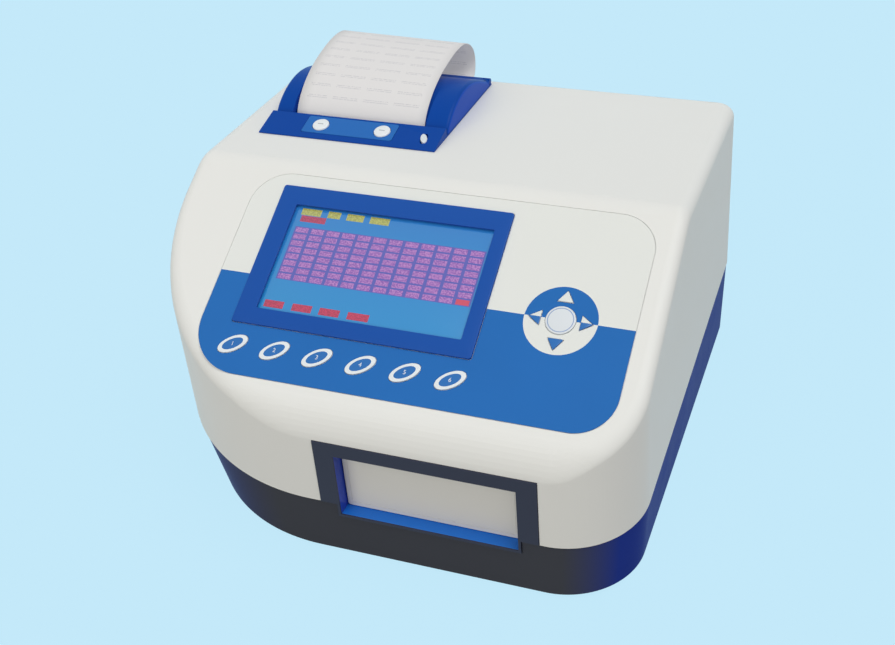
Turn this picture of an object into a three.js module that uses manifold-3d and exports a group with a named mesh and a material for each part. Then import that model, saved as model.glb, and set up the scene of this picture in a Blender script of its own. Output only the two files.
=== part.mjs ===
// Benchtop microplate reader: plate drawer, sloping display panel and built-in strip printer.
// Millimetres. +X is right as the user sees it, +Y runs to the rear, +Z is up.
// The body frame has x = 0 midway between the side walls, y = 0 on the front wall, z = 0 under the base pan.
import * as THREE from "three";
import { mergeVertices } from "three/addons/utils/BufferGeometryUtils.js";
import Module from "manifold-3d";

const wasm = await Module();
wasm.setup();

// Common clearances
const overrun = 2; // how far a cutter runs past what it cuts
const seat = 0.3; // gap left between two pieces that rest on each other
const running = 0.08; // radial clearance of a turning or sliding fit
const press = 0.12; // radial gap of a rod held in its support
const weld = 0.0005; // vertices closer than this are one

// Body outline
const bodyWidth = 381;
const bodyDepth = 367;
const bodyTop = 216.5;
const leftCornerRadius = 150;
const rightCornerRadius = 58;
const rearCornerRadius = 15;
const sideLean = 9.5; // the left wall leans in by this much at the bottom
const slopeFoot = 118.1; // where the plane of the slope meets the front wall
const slopeAngle = THREE.MathUtils.degToRad(29.3);
const ridgeRadius = 30;
const chinReach = 15; // the slope rolls over towards the front wall within this depth
const chinSag = 8.7;
const edgeReach = 10; // soft edge between the top and the walls
const edgeDrop = 9;
const seamFront = 46; // joint of shell and base at the front wall
const seamRear = 71;
const shellWall = 3;
const cornerSteps = 9;
const edgeSteps = 3;
const innerEdgeSteps = 2;
const ridgeSteps = 3;
const curveSteps = 5;
const smallSteps = 3;
const nestSteps = 4;
const overlaySteps = 6;
const lampSteps = 8;
const rodSides = 16; // enough for a thin shaft to turn in its bore
const plainSides = 12;
const keySides = 12;
const holeSides = 10;
const wheelSides = 22;
const pulleySides = 18;
const hubSides = 24; // enough for the paper roll to turn on its spindles
const footSides = 14;
const lensSides = 6;

// Base pan and feet
const baseWall = 3;
const baseInset = 3.2;
const baseTopInset = 1.2;
const baseChamfer = 2;
const lipHeight = 4;
const lipThickness = 1.6;
const lipMargin = 12; // the lip stays this far from the window
const footRadius = 9;
const footHeight = 3;
const footRecessRadius = 4;
const footRecessDepth = 1.6;
const footSideMargin = 42.5;
const footRearMargin = 45;
const footFrontMargin = 42;
const footCornerMarginX = 78.5; // the front left foot keeps clear of the large corner
const footCornerMarginY = 58;
const bossRadius = 5;

// Plate window in the front wall
const windowMargin = 60.5; // from the frame to the right wall
const frameWidth = 162;
const frameTop = 101;
const frameProud = 0.8;
const frameLining = 2;
const frameDepth = 16;
const frameFlange = 5;
const frameFlangeRise = 1.6;
const frameFlangeThickness = 2;
const openingWidth = 132.4;
const openingTop = 90.3;
const sillHeight = 37.4;

// Chassis plate with its posts
const chassisHeight = 12;
const chassisThickness = 2;
const chassisMargin = 14;
const postRadius = 3;

// Plate drawer
const drawerTravel = 100;
const panelRecess = 10;
const panelThickness = 4;
const panelGap = 0.8;
const panelRound = 2;
const nestWidth = 128.4; // a standard plate is 127.76 by 85.48
const nestDepth = 86.1;
const nestFloor = 3;
const nestRim = 6;
const nestRound = 3;
const trayWidth = 131;
const trayWall = 4;
const trayBottom = 47;
const lightWidth = 108;
const lightDepth = 72;
const gripWidth = 22;
const guideSpread = 148;
const guideRadius = 4;
const guideHeight = 52;
const guideFront = 17;
const guideRear = 160;
const blockWidth = 20;
const blockLength = 24;
const blockHeight = 18;
const blockRear = 148;
const supportThickness = 5;
const supportBar = 8;
const supportPost = 12;
const supportCap = 4;

// Drawer drive
const beltOffset = 99; // from the window's centre to the belt
const beltWidth = 6;
const beltThickness = 1.5;
const pulleyRadius = 8;
const pulleyWidth = 8;
const pulleyFlange = 0.8;
const pulleyFlangeReach = 1.2;
const drivePulleyOffset = 55; // behind the guide rods
const idlerWallGap = 31; // from the corner's wall to the idler's axis
const pulleyHeight = 50;
const motorSize = 35;
const motorLength = 32;
const motorChamfer = 3;
const motorShaftRadius = 2.5;
const motorBossRadius = 8;
const motorBossHeight = 1.6;
const motorBracket = 2;
const motorGap = 2;
const idlerPost = 3;
const idlerPostWidth = 12;

// Reading head and its cross guides
const wellPitch = 9;
const wellRows = 8;
const wellColumns = 12;
const armWidth = 14;
const armFront = 25;
const lowerArmTop = 43;
const lowerArmTip = 7;
const lowerArmRoot = 13;
const upperArmBottom = 84;
const upperArmTip = 8;
const upperArmRoot = 16;
const spineFront = 151;
const spineDepth = 10;
const lensRadius = 2.2;
const lensHeight = 1.5;
const carriageWidth = 26;
const carriageDepth = 46;
const carriageHeight = 20;
const crossHeight = 60;
const crossRadius = 4;
const crossSpread = 28;
const crossReach = 85; // from the window's centre to each end
const crossSupportDepth = 46;
const crossSupportThickness = 4;
const screwRadius = 3;
const headMotorLength = 30;
const boardThickness = 1.6;

// Light source
const wheelRadius = 25;
const wheelThickness = 4;
const wheelY = 146;
const wheelHeight = 50;
const filterRing = 17;
const filterHole = 4.5;
const filterCount = 8;
const wheelHub = 7;
const lampWidth = 36;
const lampDepth = 34;
const lampHeight = 80;
const lampFins = 7;
const lampFinHeight = 16;
const lampFinThickness = 2.4;
const lampBore = 9;
const lampGap = 4;
const filterMotorRadius = 14;
const filterMotorLength = 22;
const filterMotorBracket = 3;

// Electronics
const supplyWidth = 72;
const supplyDepth = 100;
const supplyHeight = 42;
const supplySideMargin = 26.5;
const supplyRearMargin = 24;
const mainBoardLeftGap = 57; // to the power supply
const mainBoardRightGap = 75.5; // to the right wall
const mainBoardFrontGap = 41; // to the head frame
const mainBoardRearGap = 31; // to the rear wall
const mainBoardHeight = 34;
const chipHeight = 4;
const postInset = 6;

// Rear panel and what it carries
const rearPanelWidth = 220;
const rearPanelLift = 13; // above the seam
const rearPanelDrop = 46.5; // below the top
const rearPanelMargin = 30.5; // from the right wall
const rearPanelThickness = 1.5;
const rearPanelLap = 6;
const fanSize = 60;
const fanDepth = 15;
const fanOffset = 48; // from the panel's right edge, as are the next three
const fanBore = 28.5;
const fanHub = 12;
const fanBlades = 7;
const bladeSteps = 3;
const fanBladeTwist = 0.55; // radians round the axis over the blade's depth
const fanTipGap = 1.2;
const grilleRings = 3;
const grilleBar = 2.4;
const grilleSpokes = 4;
const inletOffset = 180;
const inletDrop = 15; // below the fan's axis
const inletFlangeWidth = 58;
const inletFlangeHeight = 30;
const inletFlangeThickness = 2;
const inletBodyWidth = 50;
const inletBodyHeight = 24;
const inletBodyDepth = 24;
const socketWidth = 24;
const socketHeight = 17;
const socketDepth = 16;
const socketX = -10;
const contactWidth = 2;
const contactLength = 10;
const contactSpread = 7;
const rockerX = 17;
const rockerWidth = 11;
const rockerRadius = 10;
const rockerWellDepth = 14;
const rockerTilt = THREE.MathUtils.degToRad(7);
const rockerSink = 7; // the rocker's axis lies this far in front of the flange's face
const serialOffset = 126;
const usbOffset = 98;
const portDrop = 19;
const serialWidth = 17;
const serialHeight = 9;
const serialFlange = 31;
const usbWidth = 12;
const usbHeight = 11;
const usbFlange = 17;
const portShell = 1;
const portDepth = 12;
const portSocket = 8;

// Display and keypad, laid out on the slope: u across, v up the slope from the front wall's plane
const overlayLeftMargin = 53.1;
const overlayRightMargin = 17.3;
const overlayBottom = 24;
const overlayTop = 191.4;
const overlayRoundLeft = 46;
const overlayRound = 29;
const overlayThickness = 0.5;
const overlayRecess = 0.6;
const overlayGap = 0.5;
const bezelHeight = 117.3;
const bezelLeftMargin = 21.8; // to the overlay's edge
const bezelRightGap = 27.4; // to the pad
const bezelFoot = 63.3;
const bezelBorderLeft = 15.4;
const bezelBorderRight = 10.8;
const bezelBorderBottom = 13.1;
const bezelBorderTop = 15.8;
const bezelProud = 1.8;
const bezelRound = 2;
const screenMargin = 1.6;
const screenThickness = 1.8;
const screenSink = 0.9;
const moduleMargin = 7.5;
const moduleThickness = 8;
const keyCount = 6;
const keyMargin = 29.6; // from the overlay's left edge to the first key
const keyPitch = 33.1;
const keyV = 46.1;
const keyLong = 11.8;
const keyShort = 6.5;
const keyTilt = THREE.MathUtils.degToRad(32);
const keyThickness = 0.9;
const keyBevel = 0.3;
const keyClearance = 0.4;
const keyTravel = 0.5;
const stemRadius = 2;
const stemLength = 4.3;
const padMargin = 52.1; // from the overlay's right edge
const padV = 102.5;
const padRadius = 26;
const arrowDistance = 18.5;
const arrowHalf = 5.6;
const arrowDepth = 8.5;
const enterRadius = 10.6;
const keyBoardMargin = 12;

// Printer in the top, at the left of the rear
const printerWidth = 152;
const printerDepthShare = 0.365; // of the body's depth
const printerSideMargin = 21;
const printerRearMargin = 15;
const barDepth = 27;
const barFrontHeight = 1.2;
const barRearHeight = 8;
const rimThickness = 1.2;
const rimOverlap = 2.2;
const tubDepth = 50;
const tubWall = 2;
const coverGap = 9.5; // between the bar and the cover, with the paper's slot in it
const coverRun = 40.5;
const coverPeakHeight = 21; // above the shell's top
const coverWall = 2.2;
const coverSteps = 8;
const hingeRadius = 2.6;
const hingePin = 1.5;
const hingePinLength = 8;
const lugWidth = 5.5;
const labelWidth = 78.5;
const labelDepth = 20;
const labelOffset = 73.9; // from the printer's left side, as are the buttons, the lamp and the paper
const labelV = 16;
const labelThickness = 0.4;
const labelRecess = 0.6;
const labelRound = 2;
const buttonRadius = 7.2;
const buttonGap = 0.4;
const buttonV = 16;
const buttonProud = 1.4;
const buttonDome = 0.8;
const buttonLength = 6;
const buttonTravel = 0.8;
const feedOffset = 48.4;
const selectOffset = 101.9;
const lampOffset = 138.7;
const lampV = 12.9;
const lampLong = 6;
const lampShort = 2.6;
const lampProud = 1;
const lampSeat = 1.5;
const rollRadius = 23;
const rollCore = 6;
const rollDepthShare = 0.6866; // of the printer's depth, from its front
const rollHeight = -23.5; // its axis, from the shell's top
const platenRadius = 7;
const platenShaft = 2.5;
const platenHeight = -11.5;
const printHeadDepth = 7;
const printHeadHeight = 15;
const printHeadFoot = 3;

// Paper strip, from the slot over the cover to its free end: depth and height above the shell's top
const paperWidth = 112;
const paperOffset = 73.9;
const paperThickness = 0.5;
const paperSteps = 30;
const paperSlotGap = 2.8; // from the strip to the cover's foot
const paperSlotRoom = 3; // beside the strip, in the slot
const paperRise = 40;
const paperOverhang = 5.5; // behind the rear wall
const paperPathShares = [
  [0, -0.09],
  [0.002, 0.2],
  [0.03, 0.365],
  [0.095, 0.54],
  [0.2, 0.705],
  [0.33, 0.825],
  [0.49, 0.94],
  [0.65, 1],
  [0.775, 0.975],
  [0.88, 0.845],
  [0.963, 0.61],
  [1, 0.345],
  [0.997, 0.15],
];

// Places worked out from these sizes
const halfWidth = bodyWidth / 2;
const footPlaces = {
  foot_front_left: [footCornerMarginX - halfWidth, footCornerMarginY],
  foot_front_right: [halfWidth - footSideMargin, footFrontMargin],
  foot_rear_left: [footSideMargin - halfWidth, bodyDepth - footRearMargin],
  foot_rear_right: [halfWidth - footSideMargin, bodyDepth - footRearMargin],
};
const windowCentre = halfWidth - windowMargin - frameWidth / 2;
const beltCentre = windowCentre - beltOffset;
const drivePulleyY = guideRear + drivePulleyOffset;
const idlerPulleyY = cornerDepth(beltCentre - pulleyWidth) + idlerWallGap;
const headHome = windowCentre + ((wellColumns - 1) * wellPitch) / 2;
const crossLeft = windowCentre - crossReach;
const crossRight = windowCentre + crossReach;
const wheelX = (beltCentre - halfWidth) / 2;
const rearPanelRight = halfWidth - rearPanelMargin;
const rearPanelBottom = seamRear + rearPanelLift;
const rearPanelTop = bodyTop - rearPanelDrop;
const fanX = rearPanelRight - fanOffset;
const fanHeight = (rearPanelBottom + rearPanelTop) / 2;
const inletX = rearPanelRight - inletOffset;
const inletHeight = fanHeight - inletDrop;
const serialX = rearPanelRight - serialOffset;
const usbX = rearPanelRight - usbOffset;
const portHeight = fanHeight - portDrop;
const overlayLeft = overlayLeftMargin - halfWidth;
const overlayRight = halfWidth - overlayRightMargin;
const keyFirstU = overlayLeft + keyMargin;
const padU = overlayRight - padMargin;
const bezelX = [overlayLeft + bezelLeftMargin, padU - padRadius - bezelRightGap];
const bezelY = [bezelFoot, bezelFoot + bezelHeight];
const screenX = [bezelX[0] + bezelBorderLeft, bezelX[1] - bezelBorderRight];
const screenY = [bezelY[0] + bezelBorderBottom, bezelY[1] - bezelBorderTop];
const printerLeft = printerSideMargin - halfWidth;
const printerRight = printerLeft + printerWidth;
const printerRear = bodyDepth - printerRearMargin;
const printerDepth = printerDepthShare * bodyDepth;
const printerFront = printerRear - printerDepth;
const barRear = printerFront + barDepth;
const coverFoot = barRear + coverGap;
const coverPeak = coverFoot + coverRun;
const labelX = printerLeft + labelOffset;
const buttonPlaces = {
  printer_feed_button: printerLeft + feedOffset,
  printer_select_button: printerLeft + selectOffset,
};
const lampX = printerLeft + lampOffset;
const rollY = printerFront + rollDepthShare * printerDepth;
const paperCentre = printerLeft + paperOffset;
const paperSlot = coverFoot - paperSlotGap;
const paperTail = bodyDepth + paperOverhang;

// Depth of the large corner's wall at x
function cornerDepth(x) {
  const run = Math.max(0, leftCornerRadius - halfWidth - x);
  return leftCornerRadius - Math.sqrt(leftCornerRadius ** 2 - run ** 2);
}

// Finishes
const offWhite = 0xe8e8e4;
const navy = 0x343a5a;
const deepBlue = 0x1244a6;
const panelBlue = 0x3070ba;
const frameBlue = 0x262c50;
const steel = 0xb4b8bc;
const darkSteel = 0x4a4d52;
const black = 0x1c1d20;
const boardGreen = 0x1f6b45;
const paperWhite = 0xece8e8;

function finish(color, roughness, metalness) {
  return new THREE.MeshStandardMaterial({ color, roughness, metalness });
}
const gloss = 0.32;
const satin = 0.5;
const matt = 0.75;
const plastic = 0;
const metal = 0.9;

// Solids: a closed three.js geometry becomes a solid that can be joined and cut
function solid(geometry) {
  const bare = geometry.clone();
  for (const name of Object.keys(bare.attributes)) {
    if (name !== "position") bare.deleteAttribute(name);
  }
  const merged = mergeVertices(bare, weld);
  const mesh = new wasm.Mesh({
    numProp: 3,
    vertProperties: new Float32Array(merged.attributes.position.array),
    triVerts: new Uint32Array(merged.index.array),
  });
  return new wasm.Manifold(mesh);
}

function join(...pieces) {
  return pieces.flat().reduce((whole, piece) => whole.add(piece));
}

function cut(whole, ...tools) {
  return tools.flat().reduce((rest, tool) => rest.subtract(tool), whole);
}

function part(name, body, material) {
  const mesh = body.getMesh();
  const geometry = new THREE.BufferGeometry();
  geometry.setAttribute("position", new THREE.BufferAttribute(mesh.vertProperties, mesh.numProp));
  geometry.setIndex(new THREE.BufferAttribute(mesh.triVerts, 1));
  geometry.computeVertexNormals();
  const made = new THREE.Mesh(geometry, material);
  made.name = name;
  return made;
}

// A box between two limits on each axis
function block([x0, x1], [y0, y1], [z0, z1]) {
  const box = new THREE.BoxGeometry(x1 - x0, y1 - y0, z1 - z0);
  box.translate((x0 + x1) / 2, (y0 + y1) / 2, (z0 + z1) / 2);
  return solid(box);
}

function around(centre, size) {
  return [centre - size / 2, centre + size / 2];
}

function grown([low, high], margin) {
  return [low - margin, high + margin];
}

function middle([low, high]) {
  return (low + high) / 2;
}

function ordered(a, b) {
  return [Math.min(a, b), Math.max(a, b)];
}

// Turns a shape drawn across an axis, and extruded along it, into body coordinates
const axisFrames = {
  x: [new THREE.Vector3(0, 1, 0), new THREE.Vector3(0, 0, 1), new THREE.Vector3(1, 0, 0)],
  y: [new THREE.Vector3(1, 0, 0), new THREE.Vector3(0, 0, 1), new THREE.Vector3(0, -1, 0)],
  z: [new THREE.Vector3(1, 0, 0), new THREE.Vector3(0, 1, 0), new THREE.Vector3(0, 0, 1)],
};

function extruded(shape, axis, [from, to], curveSegments = curveSteps) {
  const geometry = new THREE.ExtrudeGeometry(shape, {
    depth: to - from,
    bevelEnabled: false,
    curveSegments,
  });
  const [across, up, along] = axisFrames[axis];
  const start = axis === "y" ? -to : from;
  const frame = new THREE.Matrix4().makeBasis(across, up, along);
  frame.setPosition(along.clone().multiplyScalar(start));
  return solid(geometry.applyMatrix4(frame));
}

function outline(points) {
  return new THREE.Shape(points.map(([a, b]) => new THREE.Vector2(a, b)));
}

function disc(radius, [a, b] = [0, 0]) {
  const shape = new THREE.Shape();
  shape.absarc(a, b, radius, 0, 2 * Math.PI, false);
  return shape;
}

function rod(radius, axis, limits, centre, sides = plainSides) {
  return extruded(disc(radius, centre), axis, limits, sides / 2);
}

function oval(long, short, [a, b], tilt) {
  const shape = new THREE.Shape();
  shape.absellipse(a, b, long, short, 0, 2 * Math.PI, false, tilt);
  return shape;
}

// A rectangle with its own radius at each corner, from lower left round to upper left
function rounded([a0, a1], [b0, b1], radii) {
  const [r0, r1, r2, r3] = Array.isArray(radii) ? radii : [radii, radii, radii, radii];
  const quarter = Math.PI / 2;
  const shape = new THREE.Shape();
  shape.absarc(a0 + r0, b0 + r0, r0, 2 * quarter, 3 * quarter, false);
  shape.absarc(a1 - r1, b0 + r1, r1, 3 * quarter, 4 * quarter, false);
  shape.absarc(a1 - r2, b1 - r2, r2, 0, quarter, false);
  shape.absarc(a0 + r3, b1 - r3, r3, quarter, 2 * quarter, false);
  return shape;
}

function revolved(points, sides) {
  const profile = points.map(([r, h]) => new THREE.Vector2(r, h));
  return new THREE.LatheGeometry(profile, sides).rotateX(Math.PI / 2);
}

// Outer form of the body
const slopeRise = Math.tan(slopeAngle);
const ridgeDepth = (bodyTop - slopeFoot) / slopeRise;
const ridgeTangent = ridgeRadius * Math.tan(slopeAngle / 2);
const ridgeStart = ridgeDepth - ridgeTangent * Math.cos(slopeAngle);
const ridgeEnd = ridgeDepth + ridgeTangent;

function topAt(y) {
  if (y >= ridgeEnd) return bodyTop;
  if (y > ridgeStart) {
    const run = ridgeEnd - y;
    return bodyTop - ridgeRadius + Math.sqrt(ridgeRadius * ridgeRadius - run * run);
  }
  const chin = Math.max(0, 1 - y / chinReach);
  return slopeFoot + y * slopeRise - chinSag * chin * chin;
}

function seamAt(y) {
  return seamFront + ((seamRear - seamFront) * y) / bodyDepth;
}

function leaned(x, z) {
  const share = Math.max(0, -x / halfWidth) * (1 - z / bodyTop);
  return x + sideLean * share;
}

function steps(count) {
  return Array.from({ length: count + 1 }, (_, i) => i / count);
}

// Depths of the points on an outline drawn in by inset, the same for the left and the right wall
function stations(inset) {
  const rows = [chinReach];
  for (const share of steps(ridgeSteps)) rows.push(ridgeStart + (ridgeEnd - ridgeStart) * share);
  for (const radius of [leftCornerRadius, rightCornerRadius]) {
    for (const share of steps(cornerSteps)) {
      rows.push(radius - (radius - inset) * Math.cos((share * Math.PI) / 2));
    }
  }
  for (const share of steps(cornerSteps / 3)) {
    const reach = (rearCornerRadius - inset) * Math.sin((share * Math.PI) / 2);
    rows.push(bodyDepth - rearCornerRadius + reach);
  }
  const ordered = rows.sort((a, b) => a - b);
  return ordered.filter((y, i) => y >= inset && (i === 0 || y - ordered[i - 1] > 2 * weld));
}

// A point of the wall on one side, drawn in by inset, for a station found on the reference outline
function wallPoint(side, station, reference, inset) {
  const radius = side < 0 ? leftCornerRadius : rightCornerRadius;
  if (station < radius) {
    const angle = Math.acos(Math.min(1, (radius - station) / (radius - reference)));
    const reach = radius - inset;
    return [side * (halfWidth - radius + reach * Math.sin(angle)), radius - reach * Math.cos(angle)];
  }
  const rear = bodyDepth - rearCornerRadius;
  if (station > rear) {
    const angle = Math.acos(Math.min(1, (station - rear) / (rearCornerRadius - reference)));
    const reach = rearCornerRadius - inset;
    const x = halfWidth - rearCornerRadius + reach * Math.sin(angle);
    return [side * x, rear + reach * Math.cos(angle)];
  }
  return [side * (halfWidth - inset), station];
}

// A closed body through rings of the outline, each with its inset and its height over the depth
function loft(rings) {
  const reference = Math.max(...rings.map((ring) => ring.inset));
  const rows = stations(reference);
  const loop = rows.map((y) => [-1, y]).concat(rows.toReversed().map((y) => [1, y]));
  const count = loop.length;
  const positions = [];
  for (const ring of rings) {
    for (const [side, station] of loop) {
      const [x, y] = wallPoint(side, station, reference, ring.inset);
      const z = ring.height(y);
      positions.push(leaned(x, z), y, z);
    }
  }
  const faces = [];
  for (let r = 0; r + 1 < rings.length; r++) {
    for (let i = 0; i < count; i++) {
      const low = r * count + i;
      const next = r * count + ((i + 1) % count);
      faces.push(low, low + count, next, next, low + count, next + count);
    }
  }
  const top = (rings.length - 1) * count;
  for (let i = 0; i + 1 < rows.length; i++) {
    const [l0, l1, r0, r1] = [i, i + 1, count - 1 - i, count - 2 - i];
    faces.push(l0, l1, r0, r0, l1, r1);
    faces.push(top + l0, top + r0, top + l1, top + r0, top + r1, top + l1);
  }
  const geometry = new THREE.BufferGeometry();
  geometry.setAttribute("position", new THREE.Float32BufferAttribute(positions, 3));
  geometry.setIndex(faces);
  return solid(geometry);
}

// Rings of a soft upper edge that starts on a wall at inset
function edgeRings(inset, lowered, count) {
  const reach = edgeReach - inset;
  return steps(count).map((share) => {
    const angle = (share * Math.PI) / 2;
    const sink = edgeDrop * (1 - Math.sin(angle)) + lowered;
    return { inset: inset + reach * (1 - Math.cos(angle)), height: (y) => topAt(y) - sink };
  });
}

// The slope's own frame: u across, v up the slope, n out of it
const slope = new THREE.Group();
slope.position.set(0, 0, slopeFoot);
slope.rotation.x = slopeAngle;
slope.updateMatrix();

function onSlope(shape, limits, curveSegments = curveSteps) {
  const geometry = new THREE.ExtrudeGeometry(shape, {
    depth: limits[1] - limits[0],
    bevelEnabled: false,
    curveSegments,
  });
  geometry.translate(0, 0, limits[0]);
  return solid(geometry.applyMatrix4(slope.matrix));
}

// The printer bar's own frame: x across, v to the rear over the bar's top, n out of it
const barAngle = Math.atan2(barRearHeight - barFrontHeight, barDepth);
const bar = new THREE.Group();
bar.position.set(0, printerFront, bodyTop + barFrontHeight);
bar.rotation.x = barAngle;
bar.updateMatrix();

function onBar(shape, limits, curveSegments = curveSteps) {
  const geometry = new THREE.ExtrudeGeometry(shape, {
    depth: limits[1] - limits[0],
    bevelEnabled: false,
    curveSegments,
  });
  geometry.translate(0, 0, limits[0]);
  return solid(geometry.applyMatrix4(bar.matrix));
}

const reader = new THREE.Group();
const chassisTop = chassisHeight + chassisThickness;
const floorSeat = chassisTop + seat;

// Window sizes that several pieces share
const openingX = around(windowCentre, openingWidth);
const frameX = around(windowCentre, frameWidth);
const liningX = [openingX[0] - frameLining, openingX[1] + frameLining];

// Keys: the outlines of the caps, and the holes that they need
const keyShapes = {};
for (let i = 0; i < keyCount; i++) {
  const place = [keyFirstU + i * keyPitch, keyV];
  const draw = (grow) => oval(keyLong + grow, keyShort + grow, place, keyTilt);
  keyShapes["key_" + (i + 1)] = { place, draw };
}
const arrowTurns = { key_up: 0, key_left: 1, key_down: 2, key_right: 3 };
for (const [name, turns] of Object.entries(arrowTurns)) {
  const angle = (turns * Math.PI) / 2;
  const along = [-Math.sin(angle), Math.cos(angle)];
  const across = [Math.cos(angle), Math.sin(angle)];
  const place = [padU + arrowDistance * along[0], padV + arrowDistance * along[1]];
  const at = (a, b) => [place[0] + a * across[0] + b * along[0], place[1] + a * across[1] + b * along[1]];
  const draw = (grow) => {
    const half = arrowHalf + 2 * grow;
    const back = -arrowDepth / 2 - grow;
    return outline([at(-half, back), at(half, back), at(0, arrowDepth / 2 + 2 * grow)]);
  };
  keyShapes[name] = { place, draw };
}
keyShapes.key_enter = { place: [padU, padV], draw: (grow) => disc(enterRadius + grow, [padU, padV]) };

// Upper shell
const windowCut = block(
  [frameX[0] - seat, frameX[1] + seat],
  [-overrun, shellWall + overrun],
  [seamFront - overrun, frameTop + seat],
);
const screenCutU = grown(screenX, screenMargin);
const screenCutV = grown(screenY, screenMargin);
const shellDepthAtSlope = [-shellWall - overrun, overrun];
const overlayRadii = [overlayRoundLeft, overlayRound, overlayRound, overlayRound];
const recessShape = rounded(
  [overlayLeft - overlayGap, overlayRight + overlayGap],
  [overlayBottom - overlayGap, overlayTop + overlayGap],
  overlayRadii.map((radius) => radius + overlayGap),
);
const tubX = [printerLeft + rimOverlap, printerRight - rimOverlap];
const tubY = [printerFront + rimOverlap, printerRear - rimOverlap];
const rearX = [rearPanelRight - rearPanelWidth, rearPanelRight];
const rearCutX = [rearX[0] + rearPanelLap, rearX[1] - rearPanelLap];
const rearCutZ = [rearPanelBottom + rearPanelLap, rearPanelTop - rearPanelLap];

function topShell() {
  const outer = loft([{ inset: 0, height: seamAt }, ...edgeRings(0, 0, edgeSteps)]);
  const inner = loft([
    { inset: shellWall, height: (y) => seamAt(y) - overrun },
    ...edgeRings(shellWall, shellWall / Math.cos(slopeAngle), innerEdgeSteps),
  ]);
  const stems = Object.values(keyShapes).map((key) =>
    onSlope(disc(stemRadius + keyClearance, key.place), shellDepthAtSlope, nestSteps),
  );
  return cut(
    outer,
    inner,
    windowCut,
    onSlope(recessShape, [-overlayRecess, overrun], overlaySteps),
    onSlope(rounded(screenCutU, screenCutV, bezelRound), shellDepthAtSlope, smallSteps),
    stems,
    block(grown(tubX, seat), grown(tubY, seat), [bodyTop - 2 * edgeReach, bodyTop + overrun]),
    block(rearCutX, [bodyDepth - shellWall - overrun, bodyDepth + overrun], rearCutZ),
  );
}
reader.add(part("top_shell", topShell(), finish(offWhite, satin, plastic)));

// Base pan, with a lip that centres the shell and bosses for the chassis
const bossPlaces = Object.values(footPlaces);

function basePan() {
  const outer = loft([
    { inset: baseInset + baseChamfer, height: () => 0 },
    { inset: baseInset, height: () => baseChamfer },
    { inset: baseTopInset, height: (y) => seamAt(y) - seat },
  ]);
  const inner = loft([
    { inset: baseInset + baseWall, height: () => baseWall },
    { inset: baseTopInset + baseWall, height: (y) => seamAt(y) + overrun },
  ]);
  const lipInset = shellWall + seat;
  const lipBottom = (y) => seamAt(y) - lipHeight;
  const lipTop = (y) => seamAt(y) + lipHeight;
  const lip = cut(
    loft([
      { inset: lipInset, height: lipBottom },
      { inset: lipInset, height: lipTop },
    ]),
    loft([
      { inset: lipInset + lipThickness, height: (y) => lipBottom(y) - overrun },
      { inset: lipInset + lipThickness, height: (y) => lipTop(y) + overrun },
    ]),
    block(
      [frameX[0] - lipMargin, frameX[1] + lipMargin],
      [0, frameDepth],
      [seamFront - seat, frameTop],
    ),
  );
  const bosses = bossPlaces.map((place) =>
    rod(bossRadius, "z", [baseWall / 2, chassisHeight - seat], place),
  );
  const sillCut = block(
    [liningX[0] - seat, liningX[1] + seat],
    [-overrun, frameDepth + overrun],
    [sillHeight - frameLining - seat, frameTop],
  );
  return cut(join(cut(outer, inner), lip, bosses), sillCut);
}
reader.add(part("base_pan", basePan(), finish(navy, gloss, plastic)));

// Feet
for (const [name, place] of Object.entries(footPlaces)) {
  const profile = [
    [0, footRecessDepth - footHeight],
    [footRecessRadius, footRecessDepth - footHeight],
    [footRecessRadius, -footHeight],
    [footRadius - baseChamfer / 2, -footHeight],
    [footRadius, 0],
    [0, 0],
  ];
  const foot = revolved(profile, footSides).translate(place[0], place[1], -seat);
  reader.add(part(name, solid(foot), finish(black, matt, plastic)));
}

// Window frame
function windowFrame() {
  const face = block(frameX, [-frameProud, shellWall], [seamFront + seat, frameTop]);
  const lining = block(
    liningX,
    [-frameProud, frameDepth],
    [sillHeight - frameLining, openingTop + frameLining],
  );
  const flangeX = [frameX[0] - frameFlange, frameX[1] + frameFlange];
  const flangeY = [shellWall + seat, shellWall + seat + frameFlangeThickness];
  const flange = block(flangeX, flangeY, [seamFront + lipHeight, frameTop + frameFlangeRise]);
  const web = block(frameX, [shellWall - overrun, flangeY[1]], [seamFront + lipHeight, frameTop]);
  const opening = block(openingX, [-overrun, frameDepth + overrun], [sillHeight, openingTop]);
  return cut(join(face, lining, flange, web), opening);
}
reader.add(part("window_frame", windowFrame(), finish(frameBlue, gloss, plastic)));

// Chassis plate with its posts for the boards
const carriageY = [spineFront + spineDepth, spineFront + spineDepth + carriageDepth];
const carriageCentre = middle(carriageY);
const mainBoardX = [
  supplySideMargin + supplyWidth + mainBoardLeftGap - halfWidth,
  halfWidth - mainBoardRightGap,
];
const mainBoardY = [
  carriageCentre + crossSupportDepth / 2 + mainBoardFrontGap,
  bodyDepth - mainBoardRearGap,
];
const mainBoardPosts = grown(mainBoardX, -postInset).flatMap((x) =>
  grown(mainBoardY, -postInset).map((y) => [x, y]),
);

function chassisPlate() {
  const sheet = loft([
    { inset: chassisMargin, height: () => chassisHeight },
    { inset: chassisMargin, height: () => chassisTop },
  ]);
  const posts = mainBoardPosts.map((place) =>
    rod(postRadius, "z", [chassisHeight + chassisThickness / 2, mainBoardHeight - seat], place),
  );
  return join(sheet, posts);
}
reader.add(part("chassis_plate", chassisPlate(), finish(steel, satin, metal)));

// Drawer: front panel, plate carrier and its two guides
const trayX = around(windowCentre, trayWidth);
const trayFront = panelRecess + panelThickness + seat;
const trayRear = trayFront + nestDepth + 2 * trayWall;
const trayTop = trayBottom + nestFloor + nestRim;
const nestX = around(windowCentre, nestWidth);
const nestY = [trayFront + trayWall, trayFront + trayWall + nestDepth];
const nestCentre = middle(nestY);
const guideX = around(windowCentre, guideSpread);

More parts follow.
